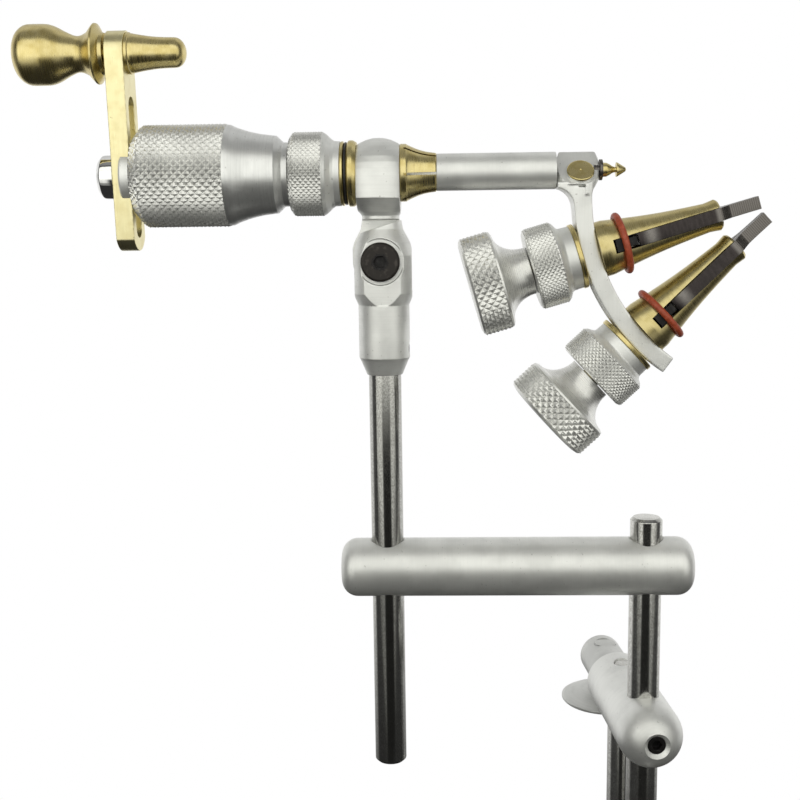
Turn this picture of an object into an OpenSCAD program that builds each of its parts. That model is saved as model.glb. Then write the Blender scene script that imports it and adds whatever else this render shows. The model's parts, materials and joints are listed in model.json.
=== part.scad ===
// Rotary fly tying vise on an offset post and a table clamp.
// The spindle lies along X and turns; Y is depth, with the front at -Y; Z is up.
// Every module is drawn with the spindle axis as X axis and the vise post at X = 0.
// placed() then puts the origin under the middle of the clamp's upper pad.

/* [Rods] */
// Diameter of the vise post, support post and guide rod
rod_d = 10; // [8:0.5:12]
// Distance between the two posts that the offset bar joins
post_gap = 81; // [60:1:110]
// Height of the spindle above the free lower end of the vise post
post_drop = 187; // [170:1:220]
// Height of the support post's top below the spindle
support_top = 106.6; // [100:0.1:108]
// Length of the support post
support_len = 175; // [155:1:190]

/* [Offset bar] */
// Diameter of the offset bar
bar_d = 18.3; // [16:0.1:22]
// Drop of the offset bar's axis below the spindle
bar_drop = 122.4; // [118:0.1:128]
// How far the bar runs past each post's axis
bar_overhang = 14.5; // [12:0.5:20]
// Rounding at the bar's ends
bar_round = 5; // [3:0.5:7]

/* [Head] */
// Left face of the head block, along the spindle
head_left = -7.4; // [-9:0.1:-6]
// Thickness of the head block along the spindle
head_w = 12.9; // [11:0.1:16]
// Radius of the head block and of its domed top
head_r = 11.4; // [10.5:0.1:12.5]
// Height of the dome above the spindle
head_top = 10.4; // [9:0.1:11]
// Diameter of the neck under the head block
neck_d = 11.3; // [10:0.1:13]
// Drop of the tilt pivot below the spindle
pivot_drop = 26.3; // [25:0.1:30]
// Width of the tilt joint along X
joint_w = 17.4; // [15:0.1:18]
// Depth of the front flat in front of the joint's middle
joint_flat = 7.6; // [7:0.1:8]
// Slope of the trimmed top of the front cheek
cheek_slope = 16.7; // [10:0.1:20]
// Diameter of the pivot screw's shank
pivot_d = 6; // [4:0.5:6]
// Diameter of the pivot screw's head
pivot_head_d = 11.7; // [10:0.1:13]
// Diameter of the stem socket
socket_d = 15.6; // [14:0.1:17]
// Drop of the stem socket's lower end below the spindle
socket_drop = 60.8; // [58:0.1:70]
// How far the vise post reaches up into its socket
post_grip = 13; // [8:0.5:16]

/* [Spindle] */
// Diameter of the spindle in its bearing
spindle_d = 8; // [6:0.5:9]
// Outer diameter of the knurled grip
grip_d = 30.6; // [26:0.1:36]
// Length of the grip's knurled part
grip_len = 28; // [22:0.5:36]
// Length of the grip's smooth taper
taper_len = 16.8; // [14:0.1:24]
// Diameter at the small end of the taper
taper_d = 23; // [21:0.1:25]
// Diameter of the plain neck beside the drag ring
grip_neck_d = 19; // [17:0.1:20]
// Length of the plain neck
grip_neck_len = 1.6; // [1:0.1:5]
// Outer diameter of the drag ring
drag_d = 25; // [22:0.1:28]
// Width of the drag ring, shoulder included
drag_w = 15.1; // [13:0.1:17]
// Thickness of the narrow brass ring
thin_ring_w = 1.1; // [0.8:0.1:2]
// Thickness of the wide brass bearing flange
flange_w = 2.9; // [2:0.1:4]
// Diameter of the brass rings
flange_d = 19.6; // [18:0.1:21]
// Gap that the rubber ring fills
seal_w = 0.8; // [0.6:0.1:1.2]

/* [Crank] */
// Crank radius, from the spindle to the handle's axis
crank_r = 35.9; // [32:0.1:45]
// Turn of the crank about the spindle, top towards the front
crank_turn = 4; // [0:1:20]
// Width of the crank bar
crank_w = 13; // [11:0.1:14]
// Thickness of the crank bar
crank_t = 5.6; // [4:0.1:7]
// How far the bar runs past the spindle, away from the handle
crank_tail = 22.2; // [18:0.1:26]
// Width of the slot in the crank bar
crank_slot_w = 6.4; // [6.2:0.1:8]
// Outward end of the slot, above the spindle
crank_slot_top = 23.5; // [16:0.1:25]
// Diameter of the hub that carries the crank bar
hub_d = 18; // [16:0.1:20]
// Depth of the hub's keyway for the bar
hub_key = 3.3; // [1:0.1:3.4]
// Diameter of the polished clamp button
button_d = 13.1; // [10:0.1:15]
// Thickness of the clamp button
button_w = 5.2; // [4:0.1:7]
// Largest diameter of the handle
handle_d = 17.6; // [15:0.1:20]
// Length of the handle
handle_len = 27.4; // [26.5:0.1:34]
// Largest diameter of the tapered nose opposite the handle
nose_d = 12; // [11:0.1:15]
// Length of the tapered nose
nose_len = 17.4; // [14:0.1:24]

/* [Collet and tube] */
// Diameter of the tube that carries the jaw arm
tube_d = 11; // [10:0.1:12]
// Length of the tube that shows
tube_len = 35.8; // [30:0.1:45]
// Large diameter of the collet
collet_d = 17; // [16:0.1:18]
// Length of the collet
collet_len = 10.9; // [9:0.1:14]
// Number of slots in the collet
collet_slots = 6; // [4:1:8]

/* [Jaw arm] */
// Inner radius of the curved arm about its centre
arm_r = 60.6; // [58:0.1:64]
// Thickness of the arm, along its radius
arm_t = 5.3; // [4:0.1:6.5]
// Depth of the arm, along Y
arm_depth = 10; // [9:0.1:12]
// Width of the arm's slot, along Y
arm_slot_w = 6.6; // [6.5:0.1:7]
// Angle of the arm's lower end
arm_end = 54; // [52:0.5:58]
// Drop of the arc's centre below the spindle
arc_drop = 7.3; // [6:0.1:9]
// Width of the arm's head along the spindle
arm_head_w = 12.7; // [12:0.1:16]
// Slope of the flat for the brass pin
pin_slope = 42; // [35:1:45]
// Diameter of the brass pin
pin_d = 8.2; // [7:0.1:8.4]

/* [Jaws] */
// Angle of the upper jaw's axis
jaw_1_angle = 15.9; // [14:0.1:16]
// Angle of the lower jaw's axis
jaw_2_angle = 42.7; // [42.5:0.1:44]
// Distance of the jaw tips from the arc's centre
tip_r = 10.8; // [10.5:0.1:14]
// Diameter of the large knob
knob_d = 30.4; // [26:0.1:32]
// Width of the large knob
knob_w = 10.2; // [8:0.1:14]
// Diameter of the lock ring
lock_d = 25; // [22:0.1:26]
// Width of the lock ring's knurl
lock_w = 8.9; // [7:0.1:10]
// Diameter of the lock ring's collar
lock_collar_d = 19.1; // [17:0.1:20]
// Length of the collar with its shoulder
lock_collar_w = 5; // [4:0.1:6]
// Diameter of the brass washer
washer_d = 19.8; // [18:0.1:22]
// Thickness of the brass washer
washer_t = 1.4; // [1:0.1:2]
// Diameter at the foot of the cone
cone_d = 16.8; // [15:0.1:18]
// Diameter at the tip of the cone
cone_tip_d = 9.2; // [8.5:0.1:10]
// Distance of the cone's tip from the arc's centre
cone_tip_r = 23; // [22:0.1:26]
// Width of the steel jaw strips
strip_w = 3.9; // [3:0.1:4.5]
// Cross section of the red rubber rings
ring_section = 2; // [1.5:0.1:2.4]
// Distance of the rubber ring in front of the arm
ring_out = 7.7; // [7.6:0.1:10.6]

/* [Table clamp] */
// Diameter of the clamp arm's front part
clamp_d = 20.6; // [18:0.1:22]
// Diameter of the clamp arm's rear part
clamp_rear_d = 15; // [13:0.1:15.5]
// Drop of the upper clamp arm's axis below the spindle
clamp_drop = 174.5; // [172:0.1:180]
// Turn of the clamp away from straight back, to the left
clamp_turn = 5; // [0:1:15]
// Reach of the clamp's pads behind the support post
clamp_reach = 52; // [48:0.5:60]
// Length of the arm's front part behind the support post
clamp_front = 35; // [33:0.5:38]
// Distance between the support post and the guide rod
guide_gap = 25.5; // [22:0.5:28]
// Diameter of the round upper pad
pad_d = 31; // [26:0.5:36]
// Drop of the upper pad's flat face below the arm's axis
pad_drop = 14; // [12:0.1:15]
// Opening between the pads as drawn
table_gap = 50; // [30:1:55]
// Diameter of the clamp screw
screw_d = 8; // [6:0.5:9]
// Length of the clamp screw
screw_len = 58; // [50:1:75]

/* [Clearances] */
// Radial clearance of a shaft in its bore
fit = 0.05; // [0.02:0.01:0.1]
// Gap between pieces that pass each other
gap = 0.3; // [0.2:0.05:0.4]

/* [Hidden] */
$fn = 64;
eps = 0.01;
rod_r = rod_d / 2;
edge = 0.6;
edge_small = 0.3;

head_x = head_left + head_w / 2;
pivot_x = head_x * 0.6;
reach = 20;
head_right = head_left + head_w;
head_base = -7.5;
neck_z = -12.6;
cheek_top = 10;
// the neck clears the front cheek's high corner
neck_under = cheek_top / cos(cheek_slope) + (neck_d / 2 - pivot_x) * tan(cheek_slope)
    + gap - pivot_drop;
socket_screw_d = 4;
socket_screw_rise = 8;
socket_top = -39.4;
joint_shoulder = -35.9;
joint_r = 9.3;
joint_upper = -22.5;
counterbore_d = 14;
counterbore_depth = 0.8;
pivot_head_t = 2.6;
pivot_nut_d = 9;

flange_x = head_left - flange_w;
seal_x = flange_x - seal_w;
thin_x = seal_x - thin_ring_w;
drag_x = thin_x - drag_w;
drag_knurl = 9.6;
grip_neck_x = drag_x - gap - grip_neck_len;
taper_x = grip_neck_x - taper_len;
grip_x = taper_x - grip_len;
grip_chamfer = 2.8;
taper_chamfer = 2.1;
handle_rim = 2.8;
handle_round = 4.6;
handle_end_r = 3;
hub_w = 3.8;
hub_x = grip_x - hub_w;
crank_x = hub_x + hub_key - crank_t;
button_x = crank_x - button_w;
button_round = 1.6;
bearing_d = 13;
grip_bore_d = 13;

crank_end_r = 7.5;
handle_pin_d = 5;
handle_gap = 0.8;
handle_x = crank_x - handle_gap;
nose_x = crank_x + crank_t;
nose_round = 3.3;
nose_tip_r = 4.3;

collet_x = head_right;
collet_lip = 2;
collet_slot_w = 0.8;
tube_x = collet_x + collet_len;
tube_end = tube_x + tube_len;
tube_bore_d = 6.4;
core_d = 6.3;

arm_root = 10.2;
arc_x = tube_end + arm_root + arm_r;
arm_out = arm_r + arm_t;
arm_head_top = tube_d / 2 + 0.1;
arm_head_z = -4.2;
arm_head_depth = 11;
arm_corner = 5;
arm_fillet = 6;
pin_face = 1.2;
pin_proud = 1.2;
pin_len = 3;
// how far down the flat the pin sits, so that its face is level with the spindle
pin_shift = -(pin_face + pin_proud) * tan(pin_slope);
collar_w = 0.9;
collar_d = 6.2;
barb_neck_d = 4.2;
barb_stem_d = 3;
barb_stem_len = 1.5;
barb_waist = 4.5;
barb_waist_r = 0.8;
barb_back = 5;
barb_flange_d = 4.4;
barb_end = 8.1;

washer_r = arm_out + 0.05;
collar_r = washer_r + washer_t;
lock_r = collar_r + lock_collar_w;
lock_end_r = lock_r + lock_w;
knob_r = lock_end_r + 9.1;
knob_end_r = knob_r + knob_w;
barrel_d = 6.3;
draw_d = 3;
barrel_end_r = lock_end_r + 3.5;
knob_neck_d = 14.4;
slot_end_r = arm_r - 4.1;
heel_r = slot_end_r - 2.2;
heel_w = 3.4;
heel_tab = 2.2;
strip_end_r = heel_r - 5.3;
ring_r = arm_r - ring_out;
strip_t = 2;
cone_wall = 2.2;
jaw_angles = [jaw_1_angle, jaw_2_angle];
// the cone's radius where the rubber ring sits, and the gap that keeps them apart
ring_seat = cone_tip_d / 2 + 0.15
    + (cone_d - cone_tip_d) / 2 * (ring_r - cone_tip_r) / (arm_r - cone_tip_r);
jaw_swing = 4;

support_x = post_gap;
support_z = -support_top;
lower_arm_drop = clamp_drop + pad_drop + table_gap + 18;
foot_t = 4.5;
foot_d = 26;
foot_z = -clamp_drop - pad_drop - table_gap;
ball_front = 8.3;
clamp_tail = 8;
pad_stem_d = 7.5;
pad_x = support_x - clamp_reach * sin(clamp_turn);
pad_y = clamp_reach * cos(clamp_turn);
pad_z = -clamp_drop - pad_drop;
knob_grip_d = 24;
knob_grip_w = 12;
set_screw_d = 5.6;
stub_d = 8;
stub_len = clamp_front - guide_gap - rod_r - gap;
sink_d = 8.4;
guide_tip_d = 6;

module placed() translate([-pad_x, -pad_y, -pad_z]) children();

// A turned piece about the X axis: points are [x, radius]
module turned(points) rotate([90, 0, 90]) rotate_extrude($fn = 96)
    polygon([for (p = points) [p[1], p[0]]]);

// A plain cylinder along +X from x
module rod_x(x, d, len) translate([x, 0, 0]) rotate([0, 90, 0]) cylinder(d = d, h = len);

// A cylinder along Y, centred
module rod_y(d, len) rotate([90, 0, 0]) cylinder(d = d, h = len, center = true);

// Points of a concave or convex quarter curve between two [x, radius] points
function sweep_curve(a, b, bow, n = 8) = [for (i = [0:n]) let (t = i / n, k = bow * sin(180 * t))
    [a[0] + (b[0] - a[0]) * t, a[1] + (b[1] - a[1]) * t - k]];

// The parts that turn with the crank lean by crank_turn
module cranked() rotate([crank_turn, 0, 0]) children();

// Grip and crank

module crank_handle() color("#a8925a") cranked() translate([0, 0, crank_r]) {
    r = handle_d / 2;
    x1 = handle_x;
    x0 = x1 - handle_len;
    difference() {
        turned(concat(
            [[x0, 0], [x0, handle_end_r]],
            [for (a = [15:15:75]) [x0 + handle_round * (1 - cos(a)),
                handle_end_r + (r - handle_end_r) * sin(a)]],
            [[x0 + handle_round, r], [x0 + 9.4, r], [x0 + 10.8, r - 0.15], [x0 + 12.3, r - 0.6]],
            [[x0 + 13.7, r - 1.2], [x0 + 15.1, r - 2.05], [x0 + 16.6, r - 2.8], [x0 + 18, r - 3.4]],
            [[x0 + 19.5, r - 3.65], [x0 + 20.9, r - 3.2], [x0 + 22.3, r - 2.5]],
            [[x1 - handle_rim - 0.8, r - 0.6], [x1 - handle_rim, r], [x1 - handle_rim + 0.4, r - 0.1]],
            [[x1 - 1, 6.1], [x1, 5.9], [x1, 0]]));
        rod_x(x0 + 8, handle_pin_d + 2 * fit, handle_len);
    }
}

module handle_pin() color("#a8925a") cranked() translate([0, 0, crank_r]) {
    r = nose_d / 2;
    tip = nose_x + nose_len;
    rod_x(handle_x - handle_len + 9, handle_pin_d, handle_len + crank_t);
    turned(concat(
        [[nose_x, 0], [nose_x, r], [nose_x + 0.9, r]],
        sweep_curve([nose_x + 1.1, r - 0.3], [tip - nose_round, nose_tip_r], 0.35, 6),
        [for (a = [15:15:75]) [tip - nose_round * (1 - sin(a)), nose_tip_r * cos(a)]],
        [[tip, 0.8], [tip, 0]]));
}

module crank_bar() color("#d8c98c") cranked() difference() {
    translate([crank_x, 0, 0]) rotate([90, 0, 90]) linear_extrude(crank_t) difference() {
        intersection() {
            translate([-crank_w / 2, -crank_tail]) square([crank_w, crank_tail + crank_r + crank_w / 2]);
            union() {
                translate([0, crank_r]) circle(d = crank_w);
                translate([-crank_w / 2, crank_end_r - crank_tail])
                    square([crank_w, crank_tail + crank_r - crank_end_r]);
                translate([0, crank_end_r - crank_tail]) circle(r = crank_end_r);
            }
        }
        translate([0, crank_slot_top - crank_slot_w / 2]) circle(d = crank_slot_w);
        translate([-crank_slot_w / 2, 4 + crank_slot_w / 2 - crank_tail])
            square([crank_slot_w, crank_slot_top + crank_tail - 4 - crank_slot_w]);
        translate([0, 4 + crank_slot_w / 2 - crank_tail]) circle(d = crank_slot_w);
    }
    translate([0, 0, crank_r]) rod_x(crank_x - 1, handle_pin_d, crank_t + 2);
}

module clamp_button() color("#c9cbcc") cranked() {
    r = button_d / 2;
    turned(concat(
        [[button_x, 0], [button_x, r - button_round]],
        [for (a = [15:15:75]) [button_x + button_round * (1 - cos(a)), r - button_round * (1 - sin(a))]],
        [[button_x + button_round, r], [crank_x, r], [crank_x, 3], [hub_x + 9, 3], [hub_x + 9, 0]]));
}

module drive_hub() color("#c4c6c4") cranked() difference() {
    union() {
        turned([[hub_x, 0], [hub_x, hub_d / 2 - edge], [hub_x + edge, hub_d / 2],
            [grip_x, hub_d / 2], [grip_x, 0]]);
        rod_x(grip_x - eps, grip_bore_d - 2 * fit, 14);
    }
    translate([hub_x - 1, -crank_w / 2 - fit, -hub_d]) cube([hub_key + 1, crank_w + 2 * fit, 2 * hub_d]);
    rod_x(hub_x - 1, 6, 10 + 1);
    rod_x(hub_x + 10 - eps, spindle_d, 30);
}

module grip_sleeve() color("#b9bbb9") difference() {
    r = grip_d / 2;
    turned(concat(
        [[grip_x, 0], [grip_x, r - grip_chamfer - 0.6], [grip_x + grip_chamfer, r], [taper_x, r],
         [taper_x + 0.4, r - 0.3]],
        sweep_curve([taper_x + 0.8, r - 0.3],
            [grip_neck_x - taper_chamfer - 0.2, taper_d / 2 + 0.1], 0.65, 8),
        [[grip_neck_x - taper_chamfer, taper_d / 2], [grip_neck_x, grip_neck_d / 2],
         [grip_neck_x + grip_neck_len, grip_neck_d / 2], [grip_neck_x + grip_neck_len, 0]]));
    rod_x(grip_x - 1, grip_bore_d, 15);
    rod_x(grip_x, spindle_d, 80);
}

module drag_ring() color("#b9bbb9") difference() {
    r = drag_d / 2;
    turned(concat(
        [[drag_x, 0], [drag_x, 10.6], [drag_x + 0.8, r], [drag_x + drag_knurl, r],
         [drag_x + drag_knurl + 1, r - 0.3]],
        [[drag_x + 11.2, r - 1.2], [drag_x + 12.3, 10.5], [drag_x + 13.6, 9.65], [drag_x + drag_w, 9.55],
         [drag_x + drag_w, 0]]));
    rod_x(drag_x - 1, spindle_d + 2 * fit, drag_w + 2);
}

module ring(x, w, d, bore) difference() {
    turned([[x, 0], [x, d / 2 - edge_small], [x + edge_small, d / 2], [x + w - edge_small, d / 2],
        [x + w, d / 2 - edge_small], [x + w, 0]]);
    rod_x(x - 1, bore, w + 2);
}

module thin_ring() color("#a8925a") ring(thin_x, thin_ring_w, flange_d - 0.5, spindle_d + 2 * fit);

module seal_ring() color("#1c1c1c") ring(seal_x, seal_w, flange_d - 0.8, spindle_d + 2 * fit);

module bearing_bush() color("#a8925a") difference() {
    union() {
        ring(flange_x, flange_w, flange_d, 1);
        rod_x(head_left - eps, bearing_d, head_w - 1);
    }
    rod_x(flange_x - 1, spindle_d + 2 * fit, flange_w + head_w + 2);
}

module spindle() color("#8d8f90") rod_x(grip_x + 9, spindle_d, collet_x + 2 - grip_x - 9);

// Head and tilt joint

// The turned outline that the head block's stem and the socket share, down from the head's cone
module joint_turned() rotate_extrude($fn = 96) polygon([
    [0, head_base], [head_r, head_base], [neck_d / 2 + 0.8, neck_z + 1.1], [neck_d / 2, neck_z],
    [neck_d / 2, neck_under], [neck_d / 2 + 0.5, neck_z - 4], [8.2, joint_upper + 2],
    [joint_r, joint_upper - 2], [joint_r, joint_shoulder], [socket_d / 2, socket_top], [0, socket_top]]);

// A slab across the joint, in front of y1 and behind y0, between two heights
module joint_slab(w, y0, y1, z0, z1) translate([-w / 2, y0, z0]) cube([w, y1 - y0, z1 - z0]);

module pivoted() translate([pivot_x, 0, -pivot_drop]) children();

module head_block() color("#c2c5c3") difference() {
    union() {
        translate([head_x, 0, 0]) intersection() {
            rotate_extrude($fn = 96) polygon(concat(
                [[0, head_base - 1], [head_r - 3, head_base - 1], [head_r - 3, head_base]],
                [[head_r, head_base]],
                [for (a = [0:10:90]) [head_r * cos(a), head_top - head_r + head_r * sin(a)]]));
            joint_slab(head_w, -reach, reach, -reach, reach);
        }
        translate([pivot_x, 0, 0]) intersection() {
            joint_turned();
            union() {
                translate([head_x - pivot_x, 0, 0])
                    joint_slab(head_w, -reach, reach, neck_under, head_base);
                joint_slab(joint_w, gap / 2, joint_flat, -pivot_drop, neck_under);
                intersection() {
                    joint_slab(joint_w, gap / 2, joint_flat, -pivot_drop - joint_w, -pivot_drop);
                    translate([0, 0, -pivot_drop]) rod_y(joint_w, 2 * reach);
                }
            }
        }
    }
    rod_x(head_left - 1, bearing_d, head_w + 2);
    pivoted() rod_y(pivot_d + 2 * fit, 2 * reach);
}

module stem_socket() color("#c2c5c3") difference() {
    union() {
        intersection() {
            joint_turned();
            joint_slab(joint_w, -joint_flat, 0, socket_top, -pivot_drop + joint_w);
            translate([pivot_x, 0, -pivot_drop]) rotate([0, -cheek_slope, 0])
                joint_slab(4 * joint_w, -reach, reach, -2 * reach, cheek_top);
        }
        intersection() {
            joint_turned();
            joint_slab(joint_w, -eps, reach, socket_top, -pivot_drop - joint_w / 2 - gap);
        }
        rotate_extrude($fn = 96) polygon([
            [0, socket_top + eps], [socket_d / 2, socket_top + eps], [socket_d / 2, 5.3 - socket_drop],
            [socket_d / 2 - 0.4, 4.6 - socket_drop], [rod_r + 0.5, -socket_drop], [0, -socket_drop]]);
    }
    pivoted() rod_y(pivot_d, 2 * reach);
    pivoted() translate([0, -joint_flat, 0]) rod_y(counterbore_d, 2 * counterbore_depth);
    translate([0, 0, -socket_drop - 1]) cylinder(d = rod_d + 2 * fit, h = post_grip + 1);
    translate([0, 0, socket_screw_rise - socket_drop]) rotate([0, 90, 0])
        cylinder(d = socket_screw_d, h = reach);
}

module pivot_screw() color("#1d1d1f") pivoted() rotate([90, 0, 0]) difference() {
    face = joint_flat - counterbore_depth + pivot_head_t;
    union() {
        translate([0, 0, face - pivot_head_t]) cylinder(d = pivot_head_d, h = pivot_head_t - edge);
        translate([0, 0, face - edge - eps])
            cylinder(d1 = pivot_head_d, d2 = pivot_head_d - 2 * edge, h = edge);
        translate([0, 0, -joint_flat]) cylinder(d = pivot_d, h = face + joint_flat - 1);
    }
    translate([0, 0, face - 1.6]) cylinder(d = 3.9, h = 3, $fn = 6);
}

module pivot_nut() color("#3a3b3d") pivoted() rotate([90, 0, 0]) difference() {
    translate([0, 0, -joint_flat - 2.2]) cylinder(d = pivot_nut_d, h = 2.2, $fn = 6);
    translate([0, 0, -joint_flat - 3]) cylinder(d = pivot_d, h = 4);
}

module socket_set_screw() color("#1d1d1f")
    translate([rod_r, 0, socket_screw_rise - socket_drop]) rotate([0, 90, 0]) difference() {
        cylinder(d = socket_screw_d, h = socket_d / 2 - rod_r - 0.2);
        translate([0, 0, socket_d / 2 - rod_r - 1.6]) cylinder(d = 2.3, h = 3, $fn = 6);
    }

// Posts and offset bar

module chamfered_rod(d, len, cut) {
    cylinder(d1 = d - 2 * cut, d2 = d, h = cut);
    translate([0, 0, cut]) cylinder(d = d, h = len - 2 * cut);
    translate([0, 0, len - cut]) cylinder(d1 = d, d2 = d - 2 * cut, h = cut);
}

module vise_post() color("#77787a") translate([0, 0, -post_drop])
    chamfered_rod(rod_d, post_drop - socket_drop + post_grip, 0.8);

module support_post() color("#77787a") translate([support_x, 0, support_z - support_len])
    chamfered_rod(rod_d, support_len, 0.8);

module offset_bar() color("#c9cbc9") difference() {
    r = bar_d / 2;
    x0 = -bar_overhang;
    x1 = post_gap + bar_overhang;
    translate([0, 0, -bar_drop]) turned(concat(
        [[x0, 0], [x0, r - bar_round]],
        [for (a = [10:10:80]) [x0 + bar_round * (1 - cos(a)), r - bar_round * (1 - sin(a))]],
        [[x0 + bar_round, r], [x1 - bar_round, r]],
        [for (a = [80:-10:10]) [x1 - bar_round * (1 - cos(a)), r - bar_round * (1 - sin(a))]],
        [[x1, r - bar_round], [x1, 0]]));
    for (x = [0, post_gap]) translate([x, 0, -bar_drop]) {
        cylinder(d = rod_d + 2 * fit, h = 2 * bar_d, center = true);
        rotate([-90, 0, 0]) cylinder(d = set_screw_d, h = bar_d);
    }
}

// A socket set screw along +Z, from its point to its face
module set_screw(len) difference() {
    cylinder(d = set_screw_d, h = len);
    translate([0, 0, len - 2.2]) cylinder(d = 3.4, h = 3, $fn = 6);
}

module bar_set_screws() color("#1d1d1f") for (x = [0, post_gap])
    translate([x, rod_r + fit, -bar_drop]) rotate([-90, 0, 0]) set_screw(bar_d / 2 - rod_r - 0.9);

// Collet, tube and jaw arm

module collet() color("#a8925a") difference() {
    r = collet_d / 2;
    turned(concat(
        [[collet_x, 0], [collet_x, r - edge_small], [collet_x + edge_small, r]],
        [[collet_x + collet_lip, r]],
        sweep_curve([collet_x + collet_lip + 0.2, r - 0.3], [tube_x - 0.3, tube_d / 2 + 0.1], 0.5, 6),
        [[tube_x, tube_d / 2 - 0.2], [tube_x, 0]]));
    rod_x(collet_x + 2, tube_d - 1, collet_len);
    rod_x(collet_x - 1, spindle_d, 4);
    for (i = [0:collet_slots - 1]) rotate([360 / collet_slots * i + 3, 0, 0])
        translate([collet_x + collet_lip + 0.6, -collet_slot_w / 2, tube_d / 2 - 1.2])
            cube([collet_len, collet_slot_w, collet_d]);
}

module arm_tube() color("#b4b6b5") difference() {
    union() {
        rod_x(tube_x, tube_d, tube_len);
        rod_x(collet_x + 2, tube_d - 1 - 2 * fit, collet_len - 2 + eps);
    }
    rod_x(collet_x, tube_bore_d, collet_len + tube_len + 5);
}

module arc_sector(r_in, r_out, a0, a1) {
    far = 2 * r_out;
    difference() {
        circle(r = r_out, $fn = 180);
        circle(r = r_in, $fn = 180);
        polygon([[0, 0], [-far * cos(a0), -far * sin(a0)], [-far, far], [far, far], [far, -far],
            [0, -far], [0, 0]]);
        polygon([[0, 0], [-far * cos(a1), -far * sin(a1)], [-far * cos(a1 + 40), -far * sin(a1 + 40)],
            [far, -far]]);
    }
}

// A slab of the arm, drawn in the XZ plane
module arm_slab(depth) rotate([90, 0, 0]) linear_extrude(depth, center = true) children();

// The curved part, the head that runs into it at the right, and the fillet at the left
module arm_curve() translate([arc_x, -arc_drop]) arc_sector(arm_r, arm_out, -2, arm_end);

module arm_head() {
    x1 = tube_end + arm_head_w;
    x2 = arc_x - arm_r;
    polygon([[tube_end, arm_head_z], [tube_end, arm_head_top], [x1, arm_head_top], [x1, -1.5],
        [x1 - 0.4, -3], [x1 - 1.2, -4.4], [x2 + 0.3, arm_head_z - 1.8], [x2, -arc_drop],
        [x2 - 2, -arc_drop], [x2 - 2, arm_head_z]]);
}

module arm_fillet_web() {
    x0 = arc_x - arm_out - arm_fillet;
    z0 = arm_head_z - arm_fillet - 1;
    x1 = x0 + arm_fillet + 1.2;
    polygon(concat([[tube_end, arm_head_z + 0.7], [x1, arm_head_z + 0.7], [x1, z0]],
        [for (a = [0:10:70]) [x0 + arm_fillet * cos(a), z0 + arm_fillet * sin(a)]],
        [[tube_end, z0 + arm_fillet * sin(80)]]));
}

// A rectangle with round corners
module rounded_plan(w, d, r) polygon([for (q = [0:3], a = [0:15:90])
    [(q % 3 == 0 ? 1 : -1) * (w / 2 - r) + r * cos(a + 90 * q),
     (q < 2 ? 1 : -1) * (d / 2 - r) + r * sin(a + 90 * q)]]);

// The brass pin's own frame: Z leaves the sloping flat
module pin_frame() translate([tube_end + 6.9, 0, 0]) rotate([90 - pin_slope, 0, 0]) children();

module jaw_arm() color("#d3d6d3") difference() {
    union() {
        arm_slab(arm_depth) arm_curve();
        arm_slab(arm_depth - 0.2) arm_fillet_web();
        intersection() {
            arm_slab(2 * arm_head_depth) arm_head();
            translate([tube_end + arm_head_w / 2, 0, -12]) linear_extrude(30)
                rounded_plan(arm_head_w, arm_head_depth, arm_corner);
        }
    }
    // the arc slot that both jaw barrels slide in
    translate([arc_x, 0, -arc_drop]) rotate([90, 0, 0]) linear_extrude(arm_slot_w, center = true)
        arc_sector(arm_r - 1, arm_out + 1, jaw_1_angle - jaw_swing - 3, jaw_2_angle + jaw_swing + 3);
    // the sloping flat
    pin_frame() translate([-20, -20, pin_face]) cube([40, 40, 20]);
    pin_frame() translate([0, pin_shift, pin_face - pin_len]) cylinder(d = pin_d, h = pin_len + 1);
    rod_x(tube_end + arm_head_w - barb_stem_len, barb_stem_d, barb_stem_len + 1);
}

module arm_pin() color("#a8925a") pin_frame() translate([0, pin_shift, pin_face - pin_len]) {
    cylinder(d = pin_d, h = pin_len + pin_proud - edge_small);
    translate([0, 0, pin_len + pin_proud - edge_small - eps])
        cylinder(d1 = pin_d, d2 = pin_d - 2 * edge_small, h = edge_small);
}

module barb_tip() color("#a8925a") {
    x = tube_end + arm_head_w;
    rod_x(x - barb_stem_len, barb_stem_d, barb_stem_len + eps);
    rf = barb_flange_d / 2;
    turned([[x, 0], [x, collar_d / 2], [x + collar_w, collar_d / 2], [x + collar_w, barb_neck_d / 2],
        [x + collar_w + 2.1, barb_neck_d / 2], [x + barb_waist, barb_waist_r],
        [x + barb_back, barb_waist_r], [x + barb_back, rf], [x + barb_back + 0.6, rf - 0.05], [x + barb_back + 1.4, rf - 0.4],
        [x + barb_end - 0.9, rf - 0.9], [x + barb_end - 0.3, rf - 1.45], [x + barb_end, 0]]);
}

// Jaw units. A jaw's own frame has its axis along +X, from the knob to the tip,
// with the arc's centre as origin: x = -distance from the centre.
module jaw_at(i) translate([arc_x, 0, -arc_drop]) rotate([0, -jaw_angles[i], 0]) children();

module jaw_knob() color("#b9bbb9") difference() {
    r = knob_d / 2;
    x0 = -knob_end_r;
    turned(concat(
        [[x0, 0], [x0, r - 1.6], [x0 + 0.4, r - 0.5], [x0 + 1, r], [-knob_r - 0.6, r], [-knob_r, r - 0.7]],
        sweep_curve([-knob_r + 0.2, r - 1.6], [-lock_end_r - 1.2, knob_neck_d / 2], 1.7, 8),
        [[-lock_end_r - gap, knob_neck_d / 2], [-lock_end_r - gap, 0]]));
    rod_x(-barrel_end_r - gap, barrel_d + 2 * gap, 10);
    rod_x(-knob_end_r + 3, draw_d + 2 * fit, 40);
}

module jaw_drawbar() color("#3a3b3d")
    rod_x(-knob_end_r + 4, draw_d, knob_end_r - 4 - heel_r);

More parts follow.
